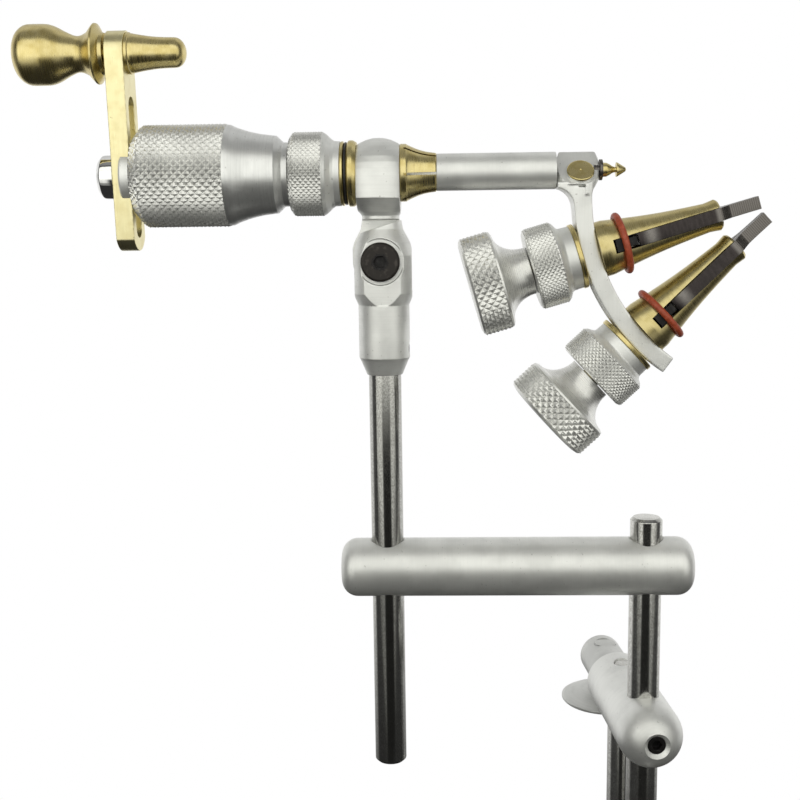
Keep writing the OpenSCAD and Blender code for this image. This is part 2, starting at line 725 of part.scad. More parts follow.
module jaw_lock_ring() color("#b9bbb9") difference() {
    r = lock_d / 2;
    rc = lock_collar_d / 2;
    turned([[-lock_end_r, 0], [-lock_end_r, r - 1], [-lock_end_r + 0.8, r], [-lock_r - 0.4, r],
        [-lock_r + 0.2, r - 0.5], [-lock_r + 1, r - 1.9], [-lock_r + 1.5, rc + 0.3], [-lock_r + 2, rc],
        [-collar_r, rc], [-collar_r, 0]]);
    rod_x(-lock_end_r - 1, barrel_d + 2 * fit, 20);
}

module jaw_washer() color("#a8925a") difference() {
    turned([[-collar_r, 0], [-collar_r, washer_d / 2 - 0.2], [-collar_r + 0.2, washer_d / 2],
        [-washer_r - 0.2, washer_d / 2], [-washer_r, washer_d / 2 - 0.2], [-washer_r, 0]]);
    rod_x(-collar_r - 1, barrel_d + 2 * fit, 4);
}

module jaw_cone() color("#a8925a") difference() {
    r0 = cone_d / 2;
    r1 = cone_tip_d / 2;
    x1 = -cone_tip_r;
    union() {
        intersection() {
            turned(concat(
                [[-arm_r - 1, 0], [-arm_r - 1, r0], [-arm_r + 2.5, r0]],
                sweep_curve([-arm_r + 3, r0], [x1 - 4, r1 - 0.2], 0.6, 8),
                [[x1 - 2.6, r1], [x1 - 0.8, r1], [x1, r1 - 0.8], [x1, 0]]));
            rod_y(2 * (arm_r - 0.1), 3 * reach);
        }
        rod_x(-barrel_end_r, barrel_d, barrel_end_r - arm_r + 2);
    }
    rod_x(-barrel_end_r - 1, draw_d + 2 * fit, barrel_end_r + 1 - slot_end_r + 1);
    translate([-slot_end_r, -20, -strip_w / 2 - gap / 2]) cube([slot_end_r, 40, strip_w + gap]);
}

module jaw_rubber_ring() color("#a5392a") translate([-ring_r, 0, 0]) rotate([0, 90, 0])
    rotate_extrude($fn = 72) translate([ring_seat + ring_section / 2, 0]) circle(d = ring_section);

// One jaw strip: side is -1 for the front one and 1 for the rear one
module jaw_strip(side) color("#4a484c") {
    y0 = cone_d / 2 - 1.5;
    y1 = cone_tip_d / 2 + 0.1;
    bend = cone_tip_r - 1.5;
    outline = [[-strip_end_r, y0], [-strip_end_r + 1, y0 + 0.2], [-cone_tip_r - 2.5, y1],
        [-bend, y1 - 0.6], [-bend + 2.5, strip_t], [-tip_r, strip_t - 0.4], [-tip_r, 0.03],
        [-bend - 4, 0.03], [-cone_tip_r - 6, y1 - 2], [-strip_end_r, y0 - strip_t]];
    linear_extrude(strip_w, center = true) polygon([for (p = outline) [p[0], side * p[1]]]);
}

module jaw_heel() color("#242326") {
    // its corners clear the rubber ring
    reach = sqrt(pow(ring_seat - gap / 2, 2) - pow(strip_w / 2, 2));
    difference() {
        translate([-heel_r - heel_w / 2 + 0.2, -reach, -strip_w / 2]) cube([heel_w, 2 * reach, strip_w]);
        rod_x(-heel_r - 10, draw_d, 10);
    }
    for (s = [-1, 1]) translate([-heel_r + 1, s * (reach - heel_tab) - heel_tab / 2, -strip_w / 2 + 0.6])
        cube([heel_r - strip_end_r - 1, heel_tab, strip_w - 1.2]);
}

module jaw_1_knob() jaw_at(0) jaw_knob();
module jaw_1_drawbar() jaw_at(0) jaw_drawbar();
module jaw_1_lock_ring() jaw_at(0) jaw_lock_ring();
module jaw_1_washer() jaw_at(0) jaw_washer();
module jaw_1_cone() jaw_at(0) jaw_cone();
module jaw_1_rubber_ring() jaw_at(0) jaw_rubber_ring();
module jaw_1_strip_front() jaw_at(0) jaw_strip(-1);
module jaw_1_strip_rear() jaw_at(0) jaw_strip(1);
module jaw_1_heel() jaw_at(0) jaw_heel();
module jaw_2_knob() jaw_at(1) jaw_knob();
module jaw_2_drawbar() jaw_at(1) jaw_drawbar();
module jaw_2_lock_ring() jaw_at(1) jaw_lock_ring();
module jaw_2_washer() jaw_at(1) jaw_washer();
module jaw_2_cone() jaw_at(1) jaw_cone();
module jaw_2_rubber_ring() jaw_at(1) jaw_rubber_ring();
module jaw_2_strip_front() jaw_at(1) jaw_strip(-1);
module jaw_2_strip_rear() jaw_at(1) jaw_strip(1);
module jaw_2_heel() jaw_at(1) jaw_heel();

// Table clamp. Its own frame has the support post as Z axis and the arm along +Y.
module clamped(drop) translate([support_x, 0, -drop]) rotate([0, 0, clamp_turn]) children();

// A round arm along +Y with a ball end in front
module clamp_arm_body() {
    translate([0, -ball_front, 0]) sphere(d = clamp_d);
    translate([0, -ball_front, 0]) rotate([-90, 0, 0])
        cylinder(d = clamp_d, h = ball_front + clamp_front - 0.4);
    translate([0, clamp_front - 0.4 - eps, 0]) rotate([-90, 0, 0])
        cylinder(d1 = clamp_d, d2 = clamp_d - 0.8, h = 0.4);
}

module arm_screw_hole() translate([0, -ball_front - clamp_d / 2, 0]) rotate([-90, 0, 0]) {
    translate([0, 0, -1]) cylinder(d = set_screw_d, h = ball_front + clamp_d / 2 + 1);
    translate([0, 0, -0.1]) cylinder(d1 = sink_d, d2 = set_screw_d - 0.6, h = 1.7);
}

module arm_screw() translate([0, -rod_r - fit, 0]) rotate([90, 0, 0])
    set_screw(ball_front + clamp_d / 2 - rod_r - 1.9);

module clamp_upper_arm() color("#c2c5c3") clamped(clamp_drop) difference() {
    clamp_arm_body();
    translate([0, 0, -20]) cylinder(d = rod_d, h = 40);
    translate([0, guide_gap, -20]) cylinder(d = rod_d, h = 20);
    translate([0, guide_gap, -1]) cylinder(d = guide_tip_d, h = 20);
    translate([0, clamp_front - stub_len - 0.2, 0]) rotate([-90, 0, 0]) cylinder(d = stub_d, h = 10);
    arm_screw_hole();
}

module arm_extension() color("#c2c5c3") clamped(clamp_drop) difference() {
    union() {
        translate([0, clamp_front - stub_len, 0]) rotate([-90, 0, 0])
            cylinder(d = stub_d, h = stub_len + eps);
        translate([0, clamp_front, 0]) rotate([-90, 0, 0])
            cylinder(d = clamp_rear_d, h = clamp_reach - clamp_front + clamp_tail - 1);
        translate([0, clamp_reach + clamp_tail - 1 - eps, 0]) rotate([-90, 0, 0])
            cylinder(d1 = clamp_rear_d, d2 = clamp_rear_d - 2, h = 1);
    }
    translate([0, clamp_reach, -20]) cylinder(d = pad_stem_d, h = 40);
}

module upper_pad() color("#c2c5c3") clamped(clamp_drop) translate([0, clamp_reach, -pad_drop]) {
    r = pad_d / 2;
    top = pad_drop - clamp_rear_d / 2 - gap;
    rotate_extrude($fn = 96) polygon([[0, 0], [r - 0.4, 0], [r, 0.4], [r, 1.1], [r - 1, 1.6], [r - 4, 2.5],
        [r - 8, 3.1], [pad_stem_d / 2 + 1.6, 3.4], [pad_stem_d / 2 + 1.2, top], [0, top]]);
    cylinder(d = pad_stem_d - 2 * fit, h = pad_drop + clamp_rear_d / 2 - 0.3);
}

module upper_arm_screw() color("#1d1d1f") clamped(clamp_drop) arm_screw();

module guide_rod() color("#77787a") clamped(clamp_drop) translate([0, guide_gap, 0]) {
    low = support_top + support_len - clamp_drop;
    translate([0, 0, -low]) cylinder(d = rod_d, h = low);
    cylinder(d = guide_tip_d - 2 * fit, h = clamp_d / 2 - 0.4);
}

module clamp_lower_arm() color("#c2c5c3") clamped(lower_arm_drop) difference() {
    union() {
        clamp_arm_body();
        translate([0, clamp_front - 1, 0]) rotate([-90, 0, 0])
            cylinder(d = clamp_rear_d, h = clamp_reach - clamp_front + clamp_tail);
        translate([0, clamp_reach + clamp_tail - 1 - eps, 0]) rotate([-90, 0, 0])
            cylinder(d1 = clamp_rear_d, d2 = clamp_rear_d - 2, h = 1);
    }
    translate([0, 0, -20]) cylinder(d = rod_d + 2 * fit, h = 40);
    translate([0, guide_gap, -20]) cylinder(d = rod_d + 2 * fit, h = 40);
    translate([0, clamp_reach, -20]) cylinder(d = screw_d + 2 * fit, h = 40);
    arm_screw_hole();
}

module lower_arm_screw() color("#1d1d1f") clamped(lower_arm_drop) arm_screw();

module clamp_foot() color("#c2c5c3") translate([0, 0, lower_arm_drop + foot_z - foot_t])
    clamped(lower_arm_drop) translate([0, clamp_reach, 0]) difference() {
        rotate_extrude($fn = 96) polygon([[0, 0], [screw_d / 2 + 2.4, 0], [screw_d / 2 + 3, 1.4],
            [foot_d / 2 - 1, 3], [foot_d / 2, 3.5], [foot_d / 2, foot_t - 0.3], [foot_d / 2 - 0.3, foot_t],
            [0, foot_t]]);
        translate([0, 0, -1]) cylinder(d = screw_d - 2 + 2 * fit, h = foot_t - 0.5);
    }

module clamp_screw() color("#8d8f90") translate([0, 0, lower_arm_drop + foot_z - foot_t])
    clamped(lower_arm_drop) translate([0, clamp_reach, 0]) {
        cylinder(d = screw_d - 2, h = foot_t - 1.6);
        translate([0, 0, -screw_len]) cylinder(d = screw_d, h = screw_len - gap / 2);
        translate([0, 0, -gap]) cylinder(d = screw_d - 2, h = gap + eps);
    }

module clamp_knob() color("#b9bbb9") translate([0, 0, lower_arm_drop + foot_z - foot_t])
    clamped(lower_arm_drop) translate([0, clamp_reach, -screw_len - 2]) difference() {
        r = knob_grip_d / 2;
        rotate_extrude($fn = 96) polygon([[0, 0], [r - 1, 0], [r, 1], [r, knob_grip_w - 3],
            [r - 0.8, knob_grip_w - 2], [r - 4, knob_grip_w], [0, knob_grip_w]]);
        translate([0, 0, 2]) cylinder(d = screw_d, h = 20);
    }

placed() crank_handle();
placed() handle_pin();
placed() crank_bar();
placed() clamp_button();
placed() drive_hub();
placed() grip_sleeve();
placed() drag_ring();
placed() thin_ring();
placed() seal_ring();
placed() bearing_bush();
placed() head_block();
placed() spindle();
placed() collet();
placed() arm_tube();
placed() barb_tip();
placed() jaw_arm();
placed() arm_pin();
placed() jaw_1_knob();
placed() jaw_1_drawbar();
placed() jaw_1_lock_ring();
placed() jaw_1_washer();
placed() jaw_1_cone();
placed() jaw_1_rubber_ring();
placed() jaw_1_strip_front();
placed() jaw_1_strip_rear();
placed() jaw_1_heel();
placed() jaw_2_knob();
placed() jaw_2_drawbar();
placed() jaw_2_lock_ring();
placed() jaw_2_washer();
placed() jaw_2_cone();
placed() jaw_2_rubber_ring();
placed() jaw_2_strip_front();
placed() jaw_2_strip_rear();
placed() jaw_2_heel();
placed() stem_socket();
placed() pivot_screw();
placed() pivot_nut();
placed() socket_set_screw();
placed() vise_post();
placed() offset_bar();
placed() bar_set_screws();
placed() support_post();
placed() guide_rod();
placed() clamp_upper_arm();
placed() arm_extension();
placed() upper_pad();
placed() upper_arm_screw();
placed() clamp_lower_arm();
placed() lower_arm_screw();
placed() clamp_screw();
placed() clamp_knob();
placed() clamp_foot();
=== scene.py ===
# The looks of a rotary fly tying vise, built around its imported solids.
# Sizes are millimetres in the drawing frame: the spindle is the X axis, the vise post is at X = 0,
# Y is depth with the front at -Y, and Z is up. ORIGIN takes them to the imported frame.
import json
from math import cos, hypot, pi, radians, sin, tan

import bpy
import bmesh
from mathutils import Matrix, Vector


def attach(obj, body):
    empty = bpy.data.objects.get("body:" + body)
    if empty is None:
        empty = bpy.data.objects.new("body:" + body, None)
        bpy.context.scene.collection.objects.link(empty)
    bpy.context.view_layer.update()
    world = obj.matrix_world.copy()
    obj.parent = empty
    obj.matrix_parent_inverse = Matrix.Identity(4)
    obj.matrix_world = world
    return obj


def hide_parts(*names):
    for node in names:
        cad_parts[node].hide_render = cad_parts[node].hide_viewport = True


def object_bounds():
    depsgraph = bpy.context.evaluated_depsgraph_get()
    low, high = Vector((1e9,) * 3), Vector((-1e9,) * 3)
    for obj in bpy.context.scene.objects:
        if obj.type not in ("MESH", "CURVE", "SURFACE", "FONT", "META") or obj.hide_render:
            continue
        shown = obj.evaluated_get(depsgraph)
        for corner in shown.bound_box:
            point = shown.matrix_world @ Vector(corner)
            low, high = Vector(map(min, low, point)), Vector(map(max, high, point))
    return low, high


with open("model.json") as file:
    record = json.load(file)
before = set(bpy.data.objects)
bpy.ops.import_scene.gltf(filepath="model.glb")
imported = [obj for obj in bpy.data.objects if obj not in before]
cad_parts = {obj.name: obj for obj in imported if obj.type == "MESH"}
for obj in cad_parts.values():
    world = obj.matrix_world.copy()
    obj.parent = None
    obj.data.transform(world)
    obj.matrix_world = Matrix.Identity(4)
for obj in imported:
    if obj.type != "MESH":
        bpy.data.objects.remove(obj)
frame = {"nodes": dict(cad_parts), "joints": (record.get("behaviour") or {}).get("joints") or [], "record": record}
cad_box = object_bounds()

MM = 0.001
JOINTS = {j["name"]: j for j in frame["joints"]}
ORIGIN = Vector(JOINTS["spindle_turn"]["pos_m"])
ARC = Vector(JOINTS["jaw_1_swing"]["pos_m"])
JAW_AXES = {i: Vector(JOINTS[f"jaw_{i}_knob_turn"]["axis"]) for i in (1, 2)}
CRANK_OUT = Vector(JOINTS["crank_slide"]["axis"])
BODY_OF = {node: body for body, nodes in frame["record"]["behaviour"]["bodies"].items() for node in nodes}


def place(point):
    """A point of the drawing frame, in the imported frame."""
    return ORIGIN + Vector(point) * MM


def place_back(point):
    """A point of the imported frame, in the drawing frame."""
    return (Vector(point) - ORIGIN) / MM


def axis_matrix(origin, along, side=(0, 1, 0)):
    """Takes local X to along, keeping local Y near side, with millimetres in and metres out."""
    x = Vector(along).normalized()
    z = x.cross(Vector(side)).normalized()
    y = z.cross(x)
    turn = Matrix((x, y, z)).transposed().to_4x4()
    return Matrix.Translation(origin) @ turn @ Matrix.Scale(MM, 4)


SPINDLE = axis_matrix(ORIGIN, (1, 0, 0))
CRANK = axis_matrix(ORIGIN, (1, 0, 0), CRANK_OUT.cross(Vector((1, 0, 0))))
JAW = {i: axis_matrix(ARC, JAW_AXES[i]) for i in (1, 2)}


def upright(point):
    """Local X points up, from a point of the drawing frame."""
    return axis_matrix(place(point), (0, 0, 1))


# Camera: fitted to the photograph through the two posts and the spindle

PHOTO_SIZE = 800
FOCAL_PX = 1145.7
SENSOR = 36.0
CLIP = (0.01, 50.0)
CAMERA_AT = (16.3, -350.4, -15.0)
CAMERA_PITCH = radians(8.76)
CAMERA_ROLL = radians(-0.80)
CAMERA_YAW = radians(-1.93)


def add_camera():
    cp, sp = cos(CAMERA_PITCH), sin(CAMERA_PITCH)
    cr, sr = cos(CAMERA_ROLL), sin(CAMERA_ROLL)
    cy, sy = cos(CAMERA_YAW), sin(CAMERA_YAW)
    base = Matrix(((1, 0, 0), (0, 0, -1), (0, 1, 0)))
    yaw = Matrix(((cy, -sy, 0), (sy, cy, 0), (0, 0, 1)))
    pitch = Matrix(((1, 0, 0), (0, cp, -sp), (0, sp, cp)))
    roll = Matrix(((cr, -sr, 0), (sr, cr, 0), (0, 0, 1)))
    rows = roll @ pitch @ base @ yaw
    turn = Matrix((rows[0], -rows[1], -rows[2])).transposed().to_4x4()
    data = bpy.data.cameras.new("camera")
    data.sensor_width = SENSOR
    data.lens = FOCAL_PX / PHOTO_SIZE * SENSOR
    data.clip_start, data.clip_end = CLIP
    camera = bpy.data.objects.new("camera", data)
    camera.matrix_world = Matrix.Translation(place(CAMERA_AT)) @ turn
    bpy.context.scene.collection.objects.link(camera)
    bpy.context.scene.camera = camera


# Node helpers


class Nodes:
    """Small wrapper that adds and links shader nodes."""

    def __init__(self, tree):
        self.tree = tree

    def add(self, kind, values=None, **settings):
        node = self.tree.nodes.new(kind)
        for key, value in settings.items():
            setattr(node, key, value)
        for key, value in (values or {}).items():
            if hasattr(value, "is_output"):
                self.tree.links.new(value, node.inputs[key])
            else:
                node.inputs[key].default_value = value
        return node

    def math(self, operation, a, b=None, c=None):
        values = {i: v for i, v in enumerate((a, b, c)) if v is not None}
        return self.add("ShaderNodeMath", values, operation=operation).outputs[0]

    def ramp(self, value, low, high, to_low=0.0, to_high=1.0, smooth=True):
        values = {"Value": value, "From Min": low, "From Max": high, "To Min": to_low, "To Max": to_high}
        kind = "SMOOTHSTEP" if smooth else "LINEAR"
        return self.add("ShaderNodeMapRange", values, interpolation_type=kind).outputs["Result"]

    def mix(self, factor, a, b):
        node = self.tree.nodes.new("ShaderNodeMix")
        node.data_type = "RGBA"
        for key, value in (("Factor", factor), ("A", a), ("B", b)):
            kind = "VALUE" if key == "Factor" else "RGBA"
            socket = [s for s in node.inputs if s.name == key and s.type == kind][0]
            if hasattr(value, "is_output"):
                self.tree.links.new(value, socket)
            else:
                socket.default_value = value
        return [s for s in node.outputs if s.type == "RGBA"][0]

    def noise(self, vector, scale, detail=2.0, roughness=0.5):
        values = {"Vector": vector, "Scale": scale, "Detail": detail, "Roughness": roughness}
        return self.add("ShaderNodeTexNoise", values).outputs["Fac"]


# Studio: a world that is light or dark by direction, a soft panel behind the camera,
# and a white floor and surround that only the camera sees


def band(n, value, low, high, soft):
    """1 where value lies between low and high, with soft edges."""
    up = n.ramp(value, low - soft, low + soft)
    down = n.ramp(value, high - soft, high + soft, 1.0, 0.0)
    return n.math("MULTIPLY", up, down)


# World by direction, in degrees: azimuth 0 is the front and grows to the right. The back is
# white beyond BACK_FROM and between BACK_LOW and BACK_HIGH, and falls from BACK_LEVEL to
# BACK_UPPER over BACK_FALL. Elsewhere the world is near dark.
BACK_FROM = 104
BACK_SOFT = 10
BACK_LEVEL = 0.88
BACK_UPPER = 0.52
BACK_FALL = (8, 38)
BACK_LOW = -24
BACK_HIGH = 72
STUDIO_ABOVE = 0.3
STUDIO_LEVEL = 0.12
STUDIO_BELOW = 0.03
RISE_BELOW = (-40, 0)
RISE_ABOVE = (35, 80)
STUDIO_TINT = (1, 1, 0.985, 1)


def add_studio():
    world = bpy.data.worlds.new("studio")
    bpy.context.scene.world = world
    world.use_nodes = True
    world.node_tree.nodes.clear()
    n = Nodes(world.node_tree)
    direction = n.add("ShaderNodeTexCoord").outputs["Generated"]
    parts = n.add("ShaderNodeSeparateXYZ", {0: direction}).outputs
    elevation = n.math("DEGREES", n.math("ARCSINE", parts["Z"]))
    azimuth = n.math("DEGREES", n.math("ARCTAN2", parts["X"], n.math("MULTIPLY", parts["Y"], -1.0)))
    away = n.math("ABSOLUTE", azimuth)
    behind = n.ramp(away, BACK_FROM - BACK_SOFT, BACK_FROM + BACK_SOFT)
    mask = n.math("MULTIPLY", behind, band(n, elevation, BACK_LOW, BACK_HIGH, BACK_SOFT))
    rest = n.math("ADD", n.ramp(elevation, *RISE_BELOW, STUDIO_BELOW, STUDIO_LEVEL),
                  n.ramp(elevation, *RISE_ABOVE, 0.0, STUDIO_ABOVE - STUDIO_LEVEL))
    level = n.ramp(elevation, *BACK_FALL, BACK_LEVEL, BACK_UPPER)
    light = n.math("ADD", rest, n.math("MULTIPLY", mask, level))
    background = n.add("ShaderNodeBackground", {"Color": STUDIO_TINT, "Strength": light})
    output = n.add("ShaderNodeOutputWorld")
    world.node_tree.links.new(background.outputs[0], output.inputs["Surface"])


# The big soft panel behind the camera. Rows: x from and to, z from and to, softness, brightness.
PANEL_Y = -420
PANEL_X = 1500
PANEL_Z = (-460, 760)
PANEL_LIGHT = [
    (-1000, 1000, -100, 600, 50, 1.3),
    (-700, -150, -100, 200, 60, 0.2),
    (-1000, -185, -260, -100, 40, 0.9),
    (280, 1250, -260, -100, 50, 0.85),
    (-1000, -185, -420, -260, 40, 0.26),
    (330, 1400, -420, -260, 60, 0.3),
]
PANEL_TINT = (1, 1, 0.945, 1)
PANEL_BASE = 0.02


def add_panel():
    low, high = PANEL_Z
    corners = [(-PANEL_X, low), (PANEL_X, low), (PANEL_X, high), (-PANEL_X, high)]
    bm = bmesh.new()
    bm.faces.new([bm.verts.new(place((x, PANEL_Y, z))) for x, z in corners])
    panel = new_object("soft_panel", bm)
    mat = bpy.data.materials.new("panel_light")
    mat.use_nodes = True
    mat.node_tree.nodes.clear()
    n = Nodes(mat.node_tree)
    spot = n.add("ShaderNodeNewGeometry").outputs["Position"]
    parts = n.add("ShaderNodeSeparateXYZ", {0: spot}).outputs
    x = n.math("MULTIPLY", n.math("SUBTRACT", parts["X"], ORIGIN.x), 1 / MM)
    z = n.math("MULTIPLY", n.math("SUBTRACT", parts["Z"], ORIGIN.z), 1 / MM)
    light = PANEL_BASE
    for x0, x1, z0, z1, soft, level in PANEL_LIGHT:
        window = n.math("MULTIPLY", band(n, x, x0, x1, soft), band(n, z, z0, z1, soft))
        light = n.math("ADD", light, n.math("MULTIPLY", window, level))
    glow = n.add("ShaderNodeEmission", {"Color": PANEL_TINT, "Strength": light})
    output = n.add("ShaderNodeOutputMaterial")
    mat.node_tree.links.new(glow.outputs[0], output.inputs["Surface"])
    panel.data.materials.append(mat)
    panel.visible_camera = False
    panel.visible_shadow = False


def only_seen(obj):
    """The piece shows to the camera and takes no part in the lighting."""
    obj.visible_diffuse = False
    obj.visible_glossy = False
    obj.visible_transmission = False
    obj.visible_shadow = False
    obj.visible_volume_scatter = False


def white_glow(name):
    """A material that is plain white from every side."""
    mat = bpy.data.materials.new(name)
    mat.use_nodes = True
    mat.node_tree.nodes.clear()
    n = Nodes(mat.node_tree)
    glow = n.add("ShaderNodeEmission", {"Color": (1, 1, 1, 1), "Strength": 1.0})
    output = n.add("ShaderNodeOutputMaterial")
    mat.node_tree.links.new(glow.outputs[0], output.inputs["Surface"])
    return mat


# Metres
FLOOR_DROP = 0.004
SURROUND = 6.0


def add_stage():
    bm = bmesh.new()
    bmesh.ops.create_grid(bm, x_segments=1, y_segments=1, size=SURROUND)
    floor = new_object("floor", bm)
    floor.location = (0, 0, cad_box[0][2] - FLOOR_DROP)
    floor.data.materials.append(white_glow("pale_floor"))
    bm = bmesh.new()
    bmesh.ops.create_icosphere(bm, subdivisions=5, radius=SURROUND)
    dome = new_object("surround", bm)
    dome.data.materials.append(white_glow("pale_surround"))
    for obj in (floor, dome):
        only_seen(obj)


# Materials


def new_material(name, **surface):
    """A principled material with plain values on its sockets, its node helper and its shader."""
    mat = bpy.data.materials.new(name)
    mat.use_nodes = True
    tree = mat.node_tree
    tree.nodes.clear()
    n = Nodes(tree)
    shader = tree.nodes.new("ShaderNodeBsdfPrincipled")
    output = tree.nodes.new("ShaderNodeOutputMaterial")
    tree.links.new(shader.outputs[0], output.inputs["Surface"])
    for key, value in surface.items():
        shader.inputs[key.replace("_", " ")].default_value = value
    return mat, n, shader


def object_mm(n):
    """The place on the piece, in millimetres."""
    coord = n.add("ShaderNodeTexCoord").outputs["Object"]
    return n.add("ShaderNodeVectorMath", {0: coord, 3: 1 / MM}, operation="SCALE").outputs[0]


def along_vector(n, stretch=0.02):
    """Runs fast along a turned piece's axis and slowly round it, so noise makes fine rings."""
    along = n.add("ShaderNodeAttribute", attribute_name="along").outputs["Fac"]
    spot = object_mm(n)
    slow = n.add("ShaderNodeVectorMath", {0: spot, 3: stretch}, operation="SCALE").outputs[0]
    only = n.add("ShaderNodeCombineXYZ", {0: along}).outputs[0]
    return n.add("ShaderNodeVectorMath", {0: slow, 1: only}, operation="ADD").outputs[0]


def link(n, socket, shader, name):
    n.tree.links.new(socket, shader.inputs[name])


def bump(n, shader, height, distance):
    """Relief from a height of 0 to 1, distance millimetres deep."""
    values = {"Height": height, "Distance": distance * MM, "Strength": 1.0}
    link(n, n.add("ShaderNodeBump", values).outputs[0], shader, "Normal")


def opaque(color, tone=1.0):
    """A colour with its alpha, darker or lighter by tone."""
    return [c * tone for c in color] + [1]


# What darkens the metals: stains, turning rings, specks and tarnish marks
STAIN_TONE = 0.88
RING_TONE = 0.72
SPECK = (0.16, 0.155, 0.13)
SPECK_SHARE = 0.36
MARK = (0.07, 0.045, 0.012)
MARK_SHARE = 0.5
PIT = (0.46, 0.455, 0.43)
GROUND = (0.72, 0.72, 0.69)
CLOUD = (0.3, 0.295, 0.28)


def aluminium(name, base, metallic, roughness, rings, grain):
    """Satin anodised aluminium: a blasted grain, faint turning rings, soft stains and small specks."""
    mat, n, shader = new_material(name, Metallic=metallic, IOR=1.6)
    spot = object_mm(n)
    stain = n.noise(spot, 0.11, 3.0)
    fine = n.noise(spot, 5.5, 2.0)
    ring = n.noise(along_vector(n), 2.6, 4.0, 0.7)
    speck = n.noise(spot, 1.15, 1.0)
    color = n.mix(n.ramp(stain, 0.38, 0.66), opaque(base), opaque(base, STAIN_TONE))
    ringed = n.math("MULTIPLY", n.ramp(ring, 0.35, 0.75), rings)
    color = n.mix(ringed, color, opaque(base, RING_TONE))
    color = n.mix(n.ramp(speck, 0.735, 0.775, 0.0, SPECK_SHARE), color, opaque(SPECK))
    link(n, color, shader, "Base Color")
    rough = n.ramp(fine, 0.3, 0.7, roughness - 0.03, roughness + 0.03)
    rough = n.math("ADD", n.ramp(ring, 0.3, 0.7, -0.05, 0.05), rough)
    link(n, rough, shader, "Roughness")
    height = n.math("ADD", n.math("MULTIPLY", fine, grain), n.math("MULTIPLY", ring, rings))
    bump(n, shader, height, 0.05)
    return mat


def brass(name, base, shade, roughness, rings):
    """Satin brass: fine turning rings, soft tarnish and small dark marks."""
    mat, n, shader = new_material(name, Metallic=1.0)
    spot = object_mm(n)
    ring = n.noise(along_vector(n, 0.05), 3.0, 4.0, 0.65)
    tarnish = n.noise(spot, 0.3, 4.0)
    mark = n.noise(spot, 0.8, 2.0)
    color = n.mix(n.ramp(tarnish, 0.4, 0.7), opaque(base), opaque(shade))
    color = n.mix(n.math("MULTIPLY", n.ramp(ring, 0.4, 0.7), rings), color, opaque(shade))
    color = n.mix(n.ramp(mark, 0.72, 0.78, 0.0, MARK_SHARE), color, opaque(MARK))
    link(n, color, shader, "Base Color")
    link(n, n.ramp(ring, 0.3, 0.7, roughness - 0.05, roughness + 0.06), shader, "Roughness")
    bump(n, shader, ring, 0.005)
    return mat


def ground_rod(name, tone=1.0):
    """Ground stainless rod: bright, with a speckle of pits and short scratches round it. A tone below 1 makes a
    darker copy, painted shade.
    """
    mat, n, shader = new_material(name, Metallic=1.0)
    spot = object_mm(n)
    flat = n.add("ShaderNodeMapping", {"Vector": spot, "Scale": (1.0, 1.0, 0.55)}).outputs[0]
    speckle = n.noise(flat, 3.2, 4.0, 0.75)
    cloud = n.noise(spot, 0.35, 2.0)
    color = n.mix(n.ramp(speckle, 0.42, 0.6), opaque(PIT, tone), opaque(GROUND, tone))
    color = n.mix(n.ramp(cloud, 0.45, 0.7, 0.0, 0.35), color, opaque(CLOUD))
    link(n, color, shader, "Base Color")
    link(n, n.ramp(speckle, 0.35, 0.65, 0.2, 0.1), shader, "Roughness")
    bump(n, shader, speckle, 0.006)
    return mat


def dark_metal(name, base, roughness, metallic):
    """Black oxide, a little worn and grained."""
    mat, n, shader = new_material(name, Metallic=metallic)
    spot = object_mm(n)
    fine = n.noise(spot, 6.0, 3.0)
    wear = n.noise(spot, 0.7, 3.0)
    worn = opaque([c * 2.2 + 0.01 for c in base])
    color = n.mix(n.ramp(wear, 0.5, 0.75), opaque(base), worn)
    link(n, color, shader, "Base Color")
    link(n, n.ramp(fine, 0.3, 0.7, roughness - 0.06, roughness + 0.08), shader, "Roughness")
    bump(n, shader, fine, 0.03)
    return mat


# Jaw strips: the grinding lines' pitch, where the ground tip starts and where a highlight is
# painted on the strip, all in millimetres along the jaw
JAW_GRIND = 0.62
JAW_GROUND_FROM = (-24.5, -22.5)
JAW_PAINTED_HIGHLIGHTS = ((-46.5, -43.5, 1.6), (-24.6, -22.0, 0.8))
JAW_DARK = ((0.034, 0.029, 0.028), (0.046, 0.039, 0.038))
JAW_TIP = ((0.105, 0.096, 0.088), (0.165, 0.154, 0.144))
JAW_PAINTED_HIGHLIGHT = (0.34, 0.32, 0.3)


def jaw_steel(name):
    """Hardened jaw strip: dark, drawn lengthways, with cross grinding on the gripping tip and painted highlight
    bands at its bends.
    """
    mat, n, shader = new_material(name, Metallic=0.9)
    along = n.add("ShaderNodeAttribute", attribute_name="along").outputs["Fac"]
    spot = object_mm(n)
    cross = n.math("SINE", n.math("MULTIPLY", along, 2 * pi / JAW_GRIND))
    wander = n.noise(spot, 1.1, 3.0)
    lines = n.math("ADD", n.math("MULTIPLY", cross, 0.38), n.math("MULTIPLY", wander, 0.9))
    tip = n.ramp(along, *JAW_GROUND_FROM)
    shine = n.noise(along_vector(n, 0.3), 0.8, 3.0)
    color = n.mix(n.ramp(shine, 0.35, 0.7), *map(opaque, JAW_DARK))
    # Painted highlight: lighter bands along the strip where it bends, standing in for reflections
    painted_highlight = n.math("MAXIMUM", *[band(n, along, *row) for row in JAW_PAINTED_HIGHLIGHTS])
    color = n.mix(n.math("MULTIPLY", painted_highlight, 0.5), color, opaque(JAW_PAINTED_HIGHLIGHT))
    ground = n.mix(n.ramp(lines, 0.0, 0.9), *map(opaque, JAW_TIP))
    color = n.mix(tip, color, ground)
    link(n, color, shader, "Base Color")
    link(n, n.ramp(wander, 0.3, 0.7, 0.24, 0.36), shader, "Roughness")
    height = n.math("MULTIPLY", lines, tip)
    bump(n, shader, height, 0.014)
    return mat


